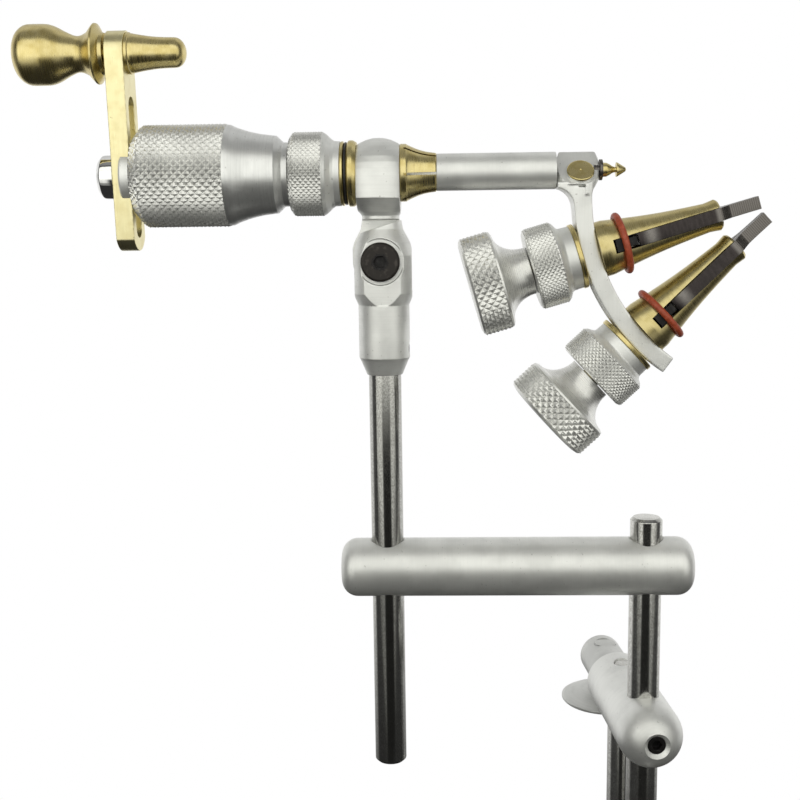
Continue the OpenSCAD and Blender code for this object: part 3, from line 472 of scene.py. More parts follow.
def rubber(name, base, roughness):
    """Matt rubber with a faint pale bloom."""
    mat, n, shader = new_material(name)
    spot = object_mm(n)
    bloom = n.noise(spot, 0.9, 3.0)
    fine = n.noise(spot, 5.0, 2.0)
    bloomed = opaque([min(1.0, c * 1.35 + 0.015) for c in base])
    color = n.mix(n.ramp(bloom, 0.4, 0.75), opaque(base), bloomed)
    link(n, color, shader, "Base Color")
    link(n, n.ramp(fine, 0.3, 0.7, roughness - 0.06, roughness + 0.08), shader, "Roughness")
    bump(n, shader, fine, 0.06)
    return mat


def polished(name):
    """Polished chrome under a thin haze."""
    mat, n, shader = new_material(name, Metallic=1.0)
    spot = object_mm(n)
    haze = n.noise(spot, 1.4, 3.0)
    color = n.mix(n.ramp(haze, 0.4, 0.7), (0.83, 0.83, 0.82, 1), (0.74, 0.74, 0.73, 1))
    link(n, color, shader, "Base Color")
    link(n, n.ramp(haze, 0.35, 0.7, 0.05, 0.1), shader, "Roughness")
    return mat


def make_materials():
    """Aluminium: base, metallic, roughness, rings, grain. Brass: base, shade, roughness, rings.
    Dark metal: base, roughness, metallic. Rubber: base, roughness."""
    return {
        "satin": aluminium("satin_aluminium", (0.83, 0.835, 0.81), 0.7, 0.43, 0.12, 0.4),
        # A darker copy of satin aluminium, painted shade for the clamp's rear arm and pad
        "painted_shade": aluminium("painted_shade_aluminium", (0.71, 0.715, 0.695), 0.7, 0.45, 0.12, 0.4),
        "turned": aluminium("turned_aluminium", (0.80, 0.805, 0.79), 0.85, 0.34, 0.5, 0.3),
        "knurled": aluminium("knurled_aluminium", (0.82, 0.82, 0.79), 0.7, 0.3, 0.1, 0.25),
        "gold": brass("satin_gold", (0.69, 0.585, 0.285), (0.57, 0.465, 0.19), 0.28, 0.16),
        # A darker copy of satin gold, painted shade on the jaw cones
        "cone": brass("gold_painted_shade", (0.60, 0.51, 0.25), (0.50, 0.415, 0.18), 0.3, 0.12),
        # A paler copy of satin gold, painted light on the crank bar's face
        "pale_gold": brass("pale_gold", (0.80, 0.73, 0.43), (0.73, 0.65, 0.36), 0.32, 0.1),
        "chrome": polished("polished_chrome"),
        "rod": ground_rod("ground_rod"),
        # A darker copy of the ground rod, painted shade for the vise post
        "painted_shade_rod": ground_rod("ground_rod_painted_shade", 0.76),
        "black": dark_metal("black_oxide", (0.012, 0.011, 0.011), 0.42, 0.55),
        "screw": dark_metal("worn_black_oxide", (0.024, 0.020, 0.017), 0.5, 0.45),
        "jaw": jaw_steel("jaw_steel"),
        "red": rubber("red_rubber", (0.34, 0.055, 0.018), 0.46),
        "seal": rubber("black_rubber", (0.012, 0.012, 0.012), 0.4),
    }


# Meshes


def new_object(name, bm):
    mesh = bpy.data.meshes.new(name)
    bm.normal_update()
    bm.to_mesh(mesh)
    bm.free()
    obj = bpy.data.objects.new(name, mesh)
    bpy.context.scene.collection.objects.link(obj)
    return obj


def shade(obj, angle=28):
    for face in obj.data.polygons:
        face.use_smooth = True
    obj.data.set_sharp_from_angle(angle=radians(angle))


def tag_along(obj, matrix):
    """Writes each point's place along the piece's axis, in millimetres."""
    back = matrix.inverted()
    values = [(back @ v.co).x for v in obj.data.vertices]
    attribute = obj.data.attributes.get("along") or obj.data.attributes.new("along", "FLOAT", "POINT")
    attribute.data.foreach_set("value", values)


def apply_modifiers(obj):
    bpy.context.view_layer.update()
    graph = bpy.context.evaluated_depsgraph_get()
    mesh = bpy.data.meshes.new_from_object(obj.evaluated_get(graph))
    old = obj.data
    obj.modifiers.clear()
    obj.data = mesh
    mesh.name = obj.name
    bpy.data.meshes.remove(old)


def filleted(points, default, steps=4):
    """Rounds the corners of a profile of (x, radius) or (x, radius, rounding) points."""
    out = [tuple(points[0][:2])]
    for before, here, after in zip(points, points[1:], points[2:]):
        want = here[2] if len(here) > 2 else default
        p, a, b = (Vector(q[:2]) for q in (here, before, after))
        u, v = a - p, b - p
        turn = pi - u.angle(v) if u.length > 0 and v.length > 0 else 0
        if want <= 0 or turn < radians(9):
            out.append(tuple(p))
            continue
        cut = min(want * tan(turn / 2), 0.42 * u.length, 0.42 * v.length)
        first, last = p + u.normalized() * cut, p + v.normalized() * cut
        for i in range(steps + 1):
            t = i / steps
            q = first * (1 - t) ** 2 + p * 2 * t * (1 - t) + last * t ** 2
            out.append(tuple(q))
    out.append(tuple(points[-1][:2]))
    return out


def sweep(a, b, bow, steps=12):
    """A hollow curve between two profile points, drawn in by bow at its middle."""
    out = []
    for i in range(steps + 1):
        t = i / steps
        out.append((a[0] + (b[0] - a[0]) * t, a[1] + (b[1] - a[1]) * t - bow * sin(pi * t), 0))
    return out


def round_end(x, tip, r, steps=8):
    """A quarter ellipse from radius r at x to radius 0 at tip."""
    turns = [pi / 2 * i / steps for i in range(steps + 1)]
    return [(x + (tip - x) * sin(a), r * cos(a), 0) for a in turns]


def resampled(points, step):
    """Points at even steps along a profile."""
    lengths = [hypot(b[0] - a[0], b[1] - a[1]) for a, b in zip(points, points[1:])]
    total = sum(lengths)
    count = max(4, round(total / step))
    out, leg, done = [], 0, 0.0
    for i in range(count + 1):
        goal = total * i / count
        while leg < len(lengths) - 1 and done + lengths[leg] < goal:
            done += lengths[leg]
            leg += 1
        t = (goal - done) / lengths[leg] if lengths[leg] else 0
        a, b = points[leg], points[leg + 1]
        out.append((a[0] + (b[0] - a[0]) * t, a[1] + (b[1] - a[1]) * t))
    return out


def tooth(t):
    """0 on a groove line, 1 midway between two."""
    return 1 - abs(2 * (t % 1) - 1)


# Points across one diamond, and the height where a diamond's flat top begins
KNURL_STEPS = 6
KNURL_TOP = 0.94


def lathe(name, matrix, sections, rounding=0.15, around=96, pitch=None, rise=1.3, depth=0.35):
    """A turned piece about local X. A section is a list of profile points; one given as
    ("knurl", points) is cut with a diamond knurl of that pitch round it, rise times as long."""
    widest = max(p[1] for s in sections for p in (s[1] if s[0] == "knurl" else s))
    if pitch:
        around = KNURL_STEPS * round(2 * pi * widest / pitch)
    rings = []
    for section in sections:
        if section[0] == "knurl":
            rows = resampled(filleted(section[1], rounding), pitch * rise / KNURL_STEPS)
            rings += [(x, r, i / KNURL_STEPS) for i, (x, r) in enumerate(rows)]
        else:
            rings += [(x, r, None) for x, r in filleted(section, rounding)]
    bm = bmesh.new()
    loops = []
    for x, r, row in rings:
        if r < 1e-6:
            loops.append([bm.verts.new((x, 0, 0))])
            continue
        loop = []
        for j in range(around):
            low = 0.0
            if row is not None:
                u = j / KNURL_STEPS
                low = depth * (1 - min(1, min(tooth(u + row), tooth(u - row)) / KNURL_TOP))
            angle = 2 * pi * j / around
            loop.append(bm.verts.new((x, (r - low) * cos(angle), (r - low) * sin(angle))))
        loops.append(loop)
    pairs = list(zip(loops, loops[1:]))
    rows = [(a[2], b[2]) for a, b in zip(rings, rings[1:])]
    if len(loops[0]) > 1:
        pairs.append((loops[-1], loops[0]))
        rows.append((None, None))
    for (a, b), (row_a, row_b) in zip(pairs, rows):
        if len(a) == 1 and len(b) == 1:
            continue
        for j in range(around):
            k = (j + 1) % around
            if len(a) == 1:
                bm.faces.new((a[0], b[k], b[j]))
            elif len(b) == 1:
                bm.faces.new((a[j], a[k], b[0]))
            elif row_a is None or row_b is None:
                bm.faces.new((a[j], a[k], b[k], b[j]))
            else:
                heights = [hypot(v.co.y, v.co.z) for v in (a[j], a[k], b[k], b[j])]
                if abs(heights[0] - heights[2]) <= abs(heights[1] - heights[3]):
                    bm.faces.new((a[j], a[k], b[k]))
                    bm.faces.new((a[j], b[k], b[j]))
                else:
                    bm.faces.new((a[j], a[k], b[j]))
                    bm.faces.new((a[k], b[k], b[j]))
    bmesh.ops.remove_doubles(bm, verts=bm.verts, dist=1e-5)
    bmesh.ops.recalc_face_normals(bm, faces=bm.faces)
    bm.transform(matrix)
    obj = new_object(name, bm)
    shade(obj)
    tag_along(obj, matrix)
    return obj


def cut(obj, *cutters):
    """Takes the cutters out of a piece and deletes them."""
    for cutter in cutters:
        mod = obj.modifiers.new("cut", "BOOLEAN")
        mod.operation = "DIFFERENCE"
        mod.solver = "EXACT"
        mod.object = cutter
    apply_modifiers(obj)
    for cutter in cutters:
        mesh = cutter.data
        bpy.data.objects.remove(cutter)
        bpy.data.meshes.remove(mesh)
    shade(obj)


def block(size, middle, matrix):
    """A plain box, used as a cutter."""
    bm = bmesh.new()
    bmesh.ops.create_cube(bm, size=1)
    bm.transform(Matrix.Translation(middle) @ Matrix.Diagonal((*size, 1)))
    bm.transform(matrix)
    return new_object("cutter", bm)


def plug(matrix, points, sides=64):
    """A turned cutter about local X."""
    return lathe("cutter", matrix, [points], rounding=0, around=sides)


def softened(name, node, voxel, passes, keep=0.3, weight=None, filling=None):
    """A CAD node's shape with its sharp edges worn round, for pieces that aren't turned.
    weight gives each point's share of the wear, and filling is a plug that closes a hollow."""
    mesh = frame["nodes"][node].data.copy()
    obj = bpy.data.objects.new(name, mesh)
    bpy.context.scene.collection.objects.link(obj)
    bm = bmesh.new()
    bm.from_mesh(mesh)
    bmesh.ops.remove_doubles(bm, verts=bm.verts, dist=1e-6)
    if filling:
        bm.from_mesh(filling.data)
        bpy.data.objects.remove(filling)
    bm.to_mesh(mesh)
    bm.free()
    remesh = obj.modifiers.new("remesh", "REMESH")
    remesh.mode = "VOXEL"
    remesh.voxel_size = voxel * MM
    apply_modifiers(obj)
    relax = obj.modifiers.new("relax", "SMOOTH")
    relax.factor = 0.5
    relax.iterations = passes
    if weight:
        group = obj.vertex_groups.new(name="wear")
        for v in obj.data.vertices:
            group.add([v.index], weight(v.co), "REPLACE")
        relax.vertex_group = "wear"
    fewer = obj.modifiers.new("fewer", "DECIMATE")
    fewer.ratio = keep
    apply_modifiers(obj)
    obj.vertex_groups.clear()
    obj.data.materials.clear()
    shade(obj, 50)
    return obj


def extruded(name, matrix, points, width, bevel):
    """An outline in local XZ pulled to a width along local Y, with its edges rounded."""
    bm = bmesh.new()
    front = [bm.verts.new((x, -width / 2, z)) for x, z in points]
    back = [bm.verts.new((x, width / 2, z)) for x, z in points]
    bm.faces.new(front)
    bm.faces.new(list(reversed(back)))
    for i in range(len(points)):
        j = (i + 1) % len(points)
        bm.faces.new((front[j], front[i], back[i], back[j]))
    bmesh.ops.recalc_face_normals(bm, faces=bm.faces)
    sharp = [e for e in bm.edges if e.calc_face_angle(0) > radians(25)]
    bmesh.ops.bevel(bm, geom=sharp, offset=bevel, segments=2, affect="EDGES", profile=0.7,
                    clamp_overlap=True)
    bm.transform(matrix)
    obj = new_object(name, bm)
    shade(obj, 35)
    tag_along(obj, matrix)
    return obj


def dress(obj, material, *nodes):
    """Gives a piece its material, and lets it ride with its node's body and stand for it."""
    obj.data.materials.clear()
    obj.data.materials.append(MATERIALS[material])
    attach(obj, BODY_OF[nodes[0]])
    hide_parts(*nodes)


def second_look(obj, material, chosen):
    """Gives a second material to the faces whose centres are chosen."""
    obj.data.materials.append(MATERIALS[material])
    for face in obj.data.polygons:
        if chosen(face.center):
            face.material_index = 1


MATERIALS = make_materials()

# Grip, drag ring and brass rings

GRIP_X = -74.0
GRIP_R = 15.3
GRIP_KNURL = 28.0
GRIP_END = -27.6
BORE_R = 6.5
SHAFT_R = 4.05


def add_grip():
    x = GRIP_X
    taper = [(x + GRIP_KNURL + 0.1, 14.95, 0), (-44.9, 14.85, 0), (-43.1, 14.0, 0), (-41.3, 13.4, 0),
             (-39.5, 12.83, 0), (-37.7, 12.4, 0), (-35.9, 12.03, 0), (-34.0, 11.8, 0), (-32.2, 11.55, 0)]
    obj = lathe("grip", SPINDLE, [
        [(x, BORE_R), (x, 11.7)],
        ("knurl", [(x, 11.9), (x + 2.8, GRIP_R, 2.0), (x + GRIP_KNURL, GRIP_R)]),
        taper,
        [(-31.4, 11.5), (-29.3, 9.5), (GRIP_END, 9.5), (GRIP_END, BORE_R)],
    ], pitch=2.35, rise=1.02, depth=0.6)
    dress(obj, "knurled", "grip_sleeve")
    second_look(obj, "turned", lambda spot: place_back(spot).x > GRIP_X + GRIP_KNURL)


DRAG_X = -27.3
DRAG_KNURL = 9.8


def add_drag_ring():
    x = DRAG_X
    obj = lathe("drag_ring_piece", SPINDLE, [
        [(x, SHAFT_R), (x, 10.9)],
        ("knurl", [(x, 11.0), (x + 1.1, 12.5, 0.8), (x + 9.7, 12.5)]),
        [(x + 9.9, 12.3), (x + 11.0, 11.6, 0.8), (x + 12.4, 10.2, 0.8), (x + 13.3, 9.65, 0.4),
         (x + 15.04, 9.55), (x + 15.04, SHAFT_R)],
    ], pitch=1.65, rise=0.94, depth=0.4)
    dress(obj, "knurled", "drag_ring")
    second_look(obj, "satin", lambda spot: place_back(spot).x > x + DRAG_KNURL)


def add_brass_rings():
    thin = lathe("thin_brass_ring", SPINDLE, [
        [(-12.2, SHAFT_R), (-12.2, 9.3), (-11.9, 9.55), (-11.4, 9.55), (-11.15, 9.1),
         (-11.15, SHAFT_R)]], 0.12)
    dress(thin, "gold", "thin_ring")
    seal = lathe("rubber_seal", SPINDLE, [
        [(-11.1, SHAFT_R), (-11.1, 8.9), (-10.9, 9.3), (-10.5, 9.3), (-10.3, 8.9),
         (-10.3, SHAFT_R)]], 0.15)
    dress(seal, "seal", "seal_ring")
    bush = lathe("bearing_flange", SPINDLE, [
        [(-10.3, SHAFT_R), (-10.3, 9.1), (-9.7, 9.8), (-8.5, 9.8), (-7.45, 9.2), (-7.45, BORE_R),
         (4.3, BORE_R), (4.3, SHAFT_R)]], 0.12)
    dress(bush, "gold", "bearing_bush")


# Crank

CRANK_X = -80.1
CRANK_T = 5.6
CRANK_R = 35.9
HANDLE_X = -80.9
HANDLE_L = 27.4
HANDLE_R = 8.8
# The handle's outline from its free end: distance and radius
HANDLE_OUTLINE = [
    (0, 0), (0, 2.4), (0.25, 3.9), (0.8, 5.6), (1.35, 6.6), (1.9, 7.25), (2.5, 7.8), (3.1, 8.2),
    (3.7, 8.5), (4.6, 8.75), (5.6, HANDLE_R), (9.4, HANDLE_R), (10.8, 8.65), (12.3, 8.2),
    (13.7, 7.55), (15.1, 6.75), (16.6, 6.0), (18.0, 5.4), (19.0, 5.2), (19.9, 5.25), (20.9, 5.6),
    (22.3, 6.3),
]
NOSE_L = 17.4
# The handle turns against the nose piece with this much room
END_ROOM = 0.05


def add_crank():
    grip = CRANK @ Matrix.Translation((0, 0, CRANK_R))
    end = HANDLE_X
    body = [(end - HANDLE_L + x, y, 0) for x, y in HANDLE_OUTLINE]
    body += [(end - 3.6, 8.1, 0.3), (end - 2.9, HANDLE_R, 0.15), (end - 2.4, 8.7, 0.15),
             (end - 1.1, 6.2), (end, 5.9), (end, 0)]
    dress(lathe("handle_piece", grip, [body], 0.2, 128), "gold", "crank_handle")
    nose = CRANK_X + CRANK_T
    tip = nose + NOSE_L
    profile = [(HANDLE_X + END_ROOM, 0), (HANDLE_X + END_ROOM, 2.5), (nose, 2.5), (nose, 6.0),
               (nose + 0.9, 6.0), (nose + 1.15, 5.6)]
    profile += sweep((nose + 1.5, 5.68), (tip - 3.5, 4.35), 0.35)
    profile += round_end(tip - 3.3, tip, 4.32)
    dress(lathe("nose_piece", grip, [profile], 0.15, 128), "gold", "handle_pin")
    bar = softened("crank_bar_piece", "crank_bar", 0.18, 3)
    tag_along(bar, CRANK)
    # Painted light: the crank bar takes the paler copy of satin gold
    dress(bar, "pale_gold", "crank_bar")
    hub = softened("hub_piece", "drive_hub", 0.15, 1)
    tag_along(hub, SPINDLE)
    dress(hub, "satin", "drive_hub")
    top = CRANK_X - 5.2
    foot = GRIP_X + 5.2
    button = [(top, 0), (top, 4.8, 1.2), (top + 0.25, 5.4, 0.6), (top + 1.3, 6.45, 0.8),
              (top + 2.2, 6.55, 0.5), (CRANK_X, 6.55), (CRANK_X, 3), (foot, 3), (foot, 0)]
    dress(lathe("button_piece", CRANK, [button], 0.3, 96), "chrome", "clamp_button")


# Head, joint and collet

HEAD_RIGHT = 5.5
PIVOT = (-0.57, 0, -26.3)
HEX_R = 2.5
COLLET_L = 10.9
TUBE_R = 5.5
TUBE_X = HEAD_RIGHT + COLLET_L
TUBE_END = TUBE_X + 35.8
ARM_HEAD_W = 12.7
COLLET_SLOTS = 6
COLLET_SLOT_W = 0.8
COLLET_TURN = radians(35)
# The brass pin leaves the arm head's sloping flat; its own X runs out of the flat
PIN_SLOPE = radians(48)
PIN_OUT = Vector((0, -sin(PIN_SLOPE), cos(PIN_SLOPE)))
PIN_FACE = place((TUBE_END + 6.9, -3.228, 0.0))
PIN_R = 4.1
PIN_FLAT = -1.3
BARB_COLLAR = 0.93


def add_head():
    head = softened("head_piece", "head_block", 0.14, 2)
    tag_along(head, upright((0, 0, 0)))
    dress(head, "satin", "head_block")
    socket = softened("socket_piece", "stem_socket", 0.14, 2)
    tag_along(socket, upright((0, 0, 0)))
    dress(socket, "satin", "stem_socket")
    screw = softened("pivot_screw_piece", "pivot_screw", 0.09, 2)
    dress(screw, "screw", "pivot_screw")
    axis = place(PIVOT)
    # Painted shade in the hex socket: the faces near its axis take the darker black oxide
    second_look(screw, "black", lambda spot: hypot(spot.x - axis.x, spot.z - axis.z) < HEX_R * MM)


def add_collet():
    x = HEAD_RIGHT
    profile = [(x, SHAFT_R), (x, 8.3), (x + 0.3, 8.55), (x + 1.9, 8.5, 0.3)]
    profile += sweep((x + 2.1, 8.3), (TUBE_X - 0.3, 5.75), 0.5)
    profile += [(TUBE_X, 5.5), (TUBE_X, 5.05), (x + 2, 5.05), (x + 2, SHAFT_R)]
    obj = lathe("collet_piece", SPINDLE, [profile], 0.12, 144)
    cutters = []
    for i in range(COLLET_SLOTS):
        turn = Matrix.Rotation(2 * pi / COLLET_SLOTS * i + COLLET_TURN, 4, "X")
        middle = (x + 1.2 + COLLET_L / 2, 0, 8.6)
        cutters.append(block((COLLET_L, COLLET_SLOT_W, 8), middle, SPINDLE @ turn))
    cut(obj, *cutters)
    tag_along(obj, SPINDLE)
    dress(obj, "gold", "collet")


def arm_wear(point):
    """The curved part of the arm is worn rounder than its head, from 2.6 mm below the spindle."""
    return min(1.0, max(0.16, (-2.6 - place_back(point).z) / 3.5))


def add_tube_and_arm():
    start, end = TUBE_X - 8.9, TUBE_END - 0.25
    tube = lathe("tube_piece", SPINDLE, [
        [(start, 3.2), (start, 4.9), (TUBE_X, 4.9), (TUBE_X, TUBE_R), (end, TUBE_R), (end, 3.2)]], 0.2)
    dress(tube, "satin", "arm_tube")
    pin_axis = axis_matrix(PIN_FACE, PIN_OUT, (1, 0, 0))
    root = plug(pin_axis, [(-4.3, 0), (-4.3, 2.6), (PIN_FLAT, PIN_R + 0.05), (PIN_FLAT, 0)])
    arm = softened("arm_piece", "jaw_arm", 0.2, 26, weight=arm_wear, filling=root)
    tag_along(arm, SPINDLE)
    dress(arm, "satin", "jaw_arm")
    pin = lathe("pin_piece", pin_axis, [
        [(-4.1, 0), (-4.1, PIN_R), (0, PIN_R, 0.5), (0, 0.35), (-0.18, 0.12, 0), (-0.2, 0)]], 0.3, 72)
    dress(pin, "gold", "arm_pin")
    # Below the flat the pin looks like the arm, where it shows at the head's round corner
    second_look(pin, "satin", lambda spot: (spot - PIN_FACE).dot(PIN_OUT) < PIN_FLAT * MM)
    x = TUBE_END + ARM_HEAD_W
    barb = [(x - 1.5, 0), (x - 1.5, 1.5), (x, 1.5), (x, 3.1), (x + 0.9, 3.1), (x + 0.95, 2.12),
            (x + 2.2, 2.05, 0.3), (x + 3.1, 1.6, 0.4), (x + 3.9, 1.05, 0.4), (x + 4.5, 0.8, 0.3),
            (x + 5.0, 0.8), (x + 5.05, 2.2, 0.1), (x + 5.6, 1.98, 0), (x + 7.8, 0.6, 0.1), (x + 8.1, 0)]
    tip = lathe("barb_piece", SPINDLE, [barb], 0.12, 72)
    dress(tip, "gold", "barb_tip")
    second_look(tip, "jaw", lambda spot: place_back(spot).x < x + BARB_COLLAR)


# Jaws: local X runs from the knob to the tip, and x is minus the distance from the arc's centre

ARM_R = 60.6
CONE_TIP = 23.0
STRIP_W = 3.9
LOCK_KNURL_END = -72.8
RING_X = -52.9
# The front strip's outline: place along the jaw and height above its middle
STRIP = [
    (-48.9, 7.25), (-47.6, 7.35), (-36, 6.1), (-27.2, 5.15), (-25.4, 4.75), (-23.8, 4.55),
    (-22.6, 4.1), (-21.5, 3.1), (-20.0, 2.1), (-17.5, 1.75), (-10.85, 1.55), (-10.8, 0.04),
    (-25.0, 0.04), (-27.5, 2.3), (-31.5, 3.4), (-48.9, 5.35),
]


def add_jaw(i):
    m = JAW[i]
    knob = lathe(f"jaw_{i}_knob_piece", m, [
        [(-100.6, 0), (-100.6, 13.0), (-100.2, 14.4, 0.5), (-99.6, 14.95)],
        ("knurl", [(-99.5, 15.2), (-91.4, 15.2)]),
        [(-91.3, 14.9), (-90.7, 14.8, 0.3), (-90.3, 13.9, 0.4)] + knob_neck(),
    ], 0.2, pitch=2.5, rise=0.96, depth=0.6)
    dress(knob, "knurled", f"jaw_{i}_knob")
    lock = lathe(f"jaw_{i}_lock_piece", m, [
        [(-81.3, 3.2), (-81.3, 11.2), (-80.9, 11.9, 0.3)],
        ("knurl", [(-80.9, 12.1), (-80.2, 12.5, 0.4), (-72.9, 12.5)]),
        [(-72.7, 12.3, 0.3), (-71.9, 11.6, 0.8), (-71.0, 10.0, 0.8), (-70.4, 9.65, 0.3),
         (-67.45, 9.55), (-67.45, 3.2)],
    ], 0.15, pitch=1.5, rise=0.96, depth=0.36)
    dress(lock, "knurled", f"jaw_{i}_lock_ring")
    back = m.inverted()
    second_look(lock, "satin", lambda spot: (back @ spot).x > LOCK_KNURL_END)
    washer = lathe(f"jaw_{i}_washer_piece", m, [
        [(-67.4, 3.2), (-67.4, 9.75), (-67.2, 9.9), (-66.2, 9.9), (-66.0, 9.7), (-66.0, 3.2)]], 0.1)
    dress(washer, "gold", f"jaw_{i}_washer")
    add_cone(i)
    ring = add_torus(f"jaw_{i}_ring_piece", m, RING_X, 8.45, 1.02)
    dress(ring, "red", f"jaw_{i}_rubber_ring")
    add_strips(i)


def knob_neck():
    """The hollow sweep from the knob's front edge down to its neck."""
    out = []
    for k in range(15):
        a = radians(90 * k / 14)
        out.append((-90.2 + 8.1 * (1 - cos(a)), 13.8 - 6.6 * sin(a), 0))
    return out + [(-81.6, 7.2), (-81.6, 0)]


def add_cone(i):
    m = JAW[i]
    tip = -CONE_TIP
    profile = [(-84.8, 1.55), (-84.8, 3.1), (-61.6, 3.1), (-61.6, 8.4), (-58.1, 8.4, 1.0)]
    profile += sweep((-57.6, 8.4), (tip - 4, 4.4), 0.5, 14)
    profile += [(tip - 2.8, 4.5, 0.6), (tip - 0.7, 4.75, 0.3), (tip, 4.2), (tip, 1.2),
                (tip - 8, 1.2), (tip - 30, 5.6, 0), (-57.5, 5.6), (-57.5, 1.55)]
    obj = lathe(f"jaw_{i}_cone_piece", m, [profile], 0.25, 128)
    rim_r = ARM_R - 0.05
    rim = plug(axis_matrix(ARC, (0, 1, 0), (1, 0, 0)),
               [(-20, rim_r), (-20, 75), (20, 75), (20, rim_r)], 256)
    slot_l = 56.4 + 5
    slot = block((slot_l, 40, STRIP_W + 0.3), (-56.4 + slot_l / 2, 0, 0), m)
    stem = plug(m, [(-84.9, 0), (-84.9, 3.1), (-60.0, 3.1), (-60.0, 0)])
    cut(obj, rim, slot)
    mod = obj.modifiers.new("join", "BOOLEAN")
    mod.operation = "UNION"
    mod.solver = "EXACT"
    mod.object = stem
    apply_modifiers(obj)
    bpy.data.objects.remove(stem)
    shade(obj)
    tag_along(obj, m)
    # Painted shade: the cone takes the darker copy of satin gold
    dress(obj, "cone", f"jaw_{i}_cone")


def add_torus(name, matrix, x, radius, section, around=96, across=16):
    """A round ring about local X at x."""
    bm = bmesh.new()
    loops = []
    for j in range(around):
        a = 2 * pi * j / around
        loop = []
        for k in range(across):
            b = 2 * pi * k / across
            r = radius + section * cos(b)
            loop.append(bm.verts.new((x + section * sin(b), r * cos(a), r * sin(a))))
        loops.append(loop)
    for j in range(around):
        for k in range(across):
            a, b = loops[j], loops[(j + 1) % around]
            kk = (k + 1) % across
            bm.faces.new((a[k], a[kk], b[kk], b[k]))
    bmesh.ops.recalc_face_normals(bm, faces=bm.faces)
    bm.transform(matrix)
    obj = new_object(name, bm)
    shade(obj)
    tag_along(obj, matrix)
    return obj


def add_strips(i):
    """The two spring steel strips and the dark heel that carries them."""
    turn = Matrix.Rotation(pi / 2, 4, "X")
    for sign, word in ((1, "front"), (-1, "rear")):
        points = [(x, z * sign) for x, z in STRIP]
        if sign < 0:
            points.reverse()
        obj = extruded(f"jaw_{i}_strip_{word}_piece", JAW[i] @ turn, points, STRIP_W, 0.16)
        tag_along(obj, JAW[i])
        dress(obj, "jaw", f"jaw_{i}_strip_{word}")
    heel = softened(f"jaw_{i}_heel_piece", f"jaw_{i}_heel", 0.12, 2)
    dress(heel, "black", f"jaw_{i}_heel")


# Posts, bar and clamp

POST_GAP = 81.0
ROD_R = 5.0
BAR_Z = -122.4
BAR_R = 9.15
BAR_END = 14.5
BAR_ROUND = 5.0
CLAMP_Z = -174.5
PAD_DROP = 14.0
TABLE_GAP = 50.0
CLAMP_TURN = radians(5)
BALL_R = 10.3
BALL_Y = -8.3
# How far behind the support post the guide rod and the clamp's own axis stand
GUIDE_BACK = 25.5
SCREW_BACK = 52.0
GUIDE_LOW = -107.1
# Cutters reach this far past what they cut
REACH = 14


def rod(name, x, z0, z1, node, chamfer, material):
    """An upright rod from z0 to z1."""
    inner = ROD_R - chamfer
    points = [(z0, 0), (z0, inner), (z0 + chamfer, ROD_R), (z1 - chamfer, ROD_R), (z1, inner), (z1, 0)]
    dress(lathe(name, upright((x, 0, 0)), [points], 0.35, 96), material, node)


def add_posts():
    # Painted shade: the vise post takes the darker copy of the ground rod
    rod("vise_post_piece", 0, -187.0, -47.8, "vise_post", 0.8, "painted_shade_rod")
    rod("support_post_piece", POST_GAP, -281.6, -106.6, "support_post", 0.9, "rod")
    x0, x1 = -BAR_END, POST_GAP + BAR_END
    corner = [(BAR_ROUND * (1 - cos(radians(a))), BAR_R - BAR_ROUND + BAR_ROUND * sin(radians(a)))
              for a in range(0, 91, 9)]
    left = [(x0 + x, r, 0) for x, r in corner]
    right = [(x1 - x, r, 0) for x, r in reversed(corner)]
    matrix = axis_matrix(place((0, 0, BAR_Z)), (1, 0, 0))
    bar = lathe("offset_bar_piece", matrix, [[(x0, 0)] + left + right + [(x1, 0)]], 0, 144)
    holes = []
    for x in (0, POST_GAP):
        holes.append(plug(upright((x, 0, BAR_Z)), [
            (-REACH, 0), (-REACH, 5.6), (-BAR_R + 0.1, 5.5), (-BAR_R + 0.5, 5.06),
            (BAR_R - 0.5, 5.06), (BAR_R - 0.1, 5.5), (REACH, 5.6), (REACH, 0)]))
        holes.append(plug(axis_matrix(place((x, 0, BAR_Z)), (0, 1, 0), (1, 0, 0)),
                          [(5.2, 0), (5.2, 2.85), (REACH, 2.85), (REACH, 0)]))
    cut(bar, *holes)
    tag_along(bar, matrix)
    dress(bar, "satin", "offset_bar")


def clamp_matrix(z):
    """Local X runs back along a clamp arm from the support post, and local Y stays level."""
    back = (-sin(CLAMP_TURN), cos(CLAMP_TURN), 0)
    return axis_matrix(place((POST_GAP, 0, z)), back, (cos(CLAMP_TURN), sin(CLAMP_TURN), 0))


def clamp_upright(z, reach):
    """Local X points up, reach millimetres behind the support post."""
    back = Vector((-sin(CLAMP_TURN), cos(CLAMP_TURN), 0)) * reach
    return upright((POST_GAP + back.x, back.y, z))


def ball_front():
    """The round front end that both clamp arms have."""
    turns = [radians(a) for a in range(0, 91, 6)]
    return [(BALL_Y - BALL_R * cos(a), BALL_R * sin(a), 0) for a in turns]


def front_socket(matrix):
    """Cutter for the screw's hole in a clamp arm's front end."""
    x = BALL_Y - BALL_R
    return plug(matrix, [(x - 1, 0), (x - 1, 4.7), (x + 0.75, 4.2), (x + 1.9, 2.9), (x + 12, 2.85),
                         (x + 12, 0)])


def bore(z, back, r):
    """Cutter for a plain upright hole through a clamp arm."""
    return plug(clamp_upright(z, back), [(-REACH, 0), (-REACH, r), (REACH, r), (REACH, 0)])


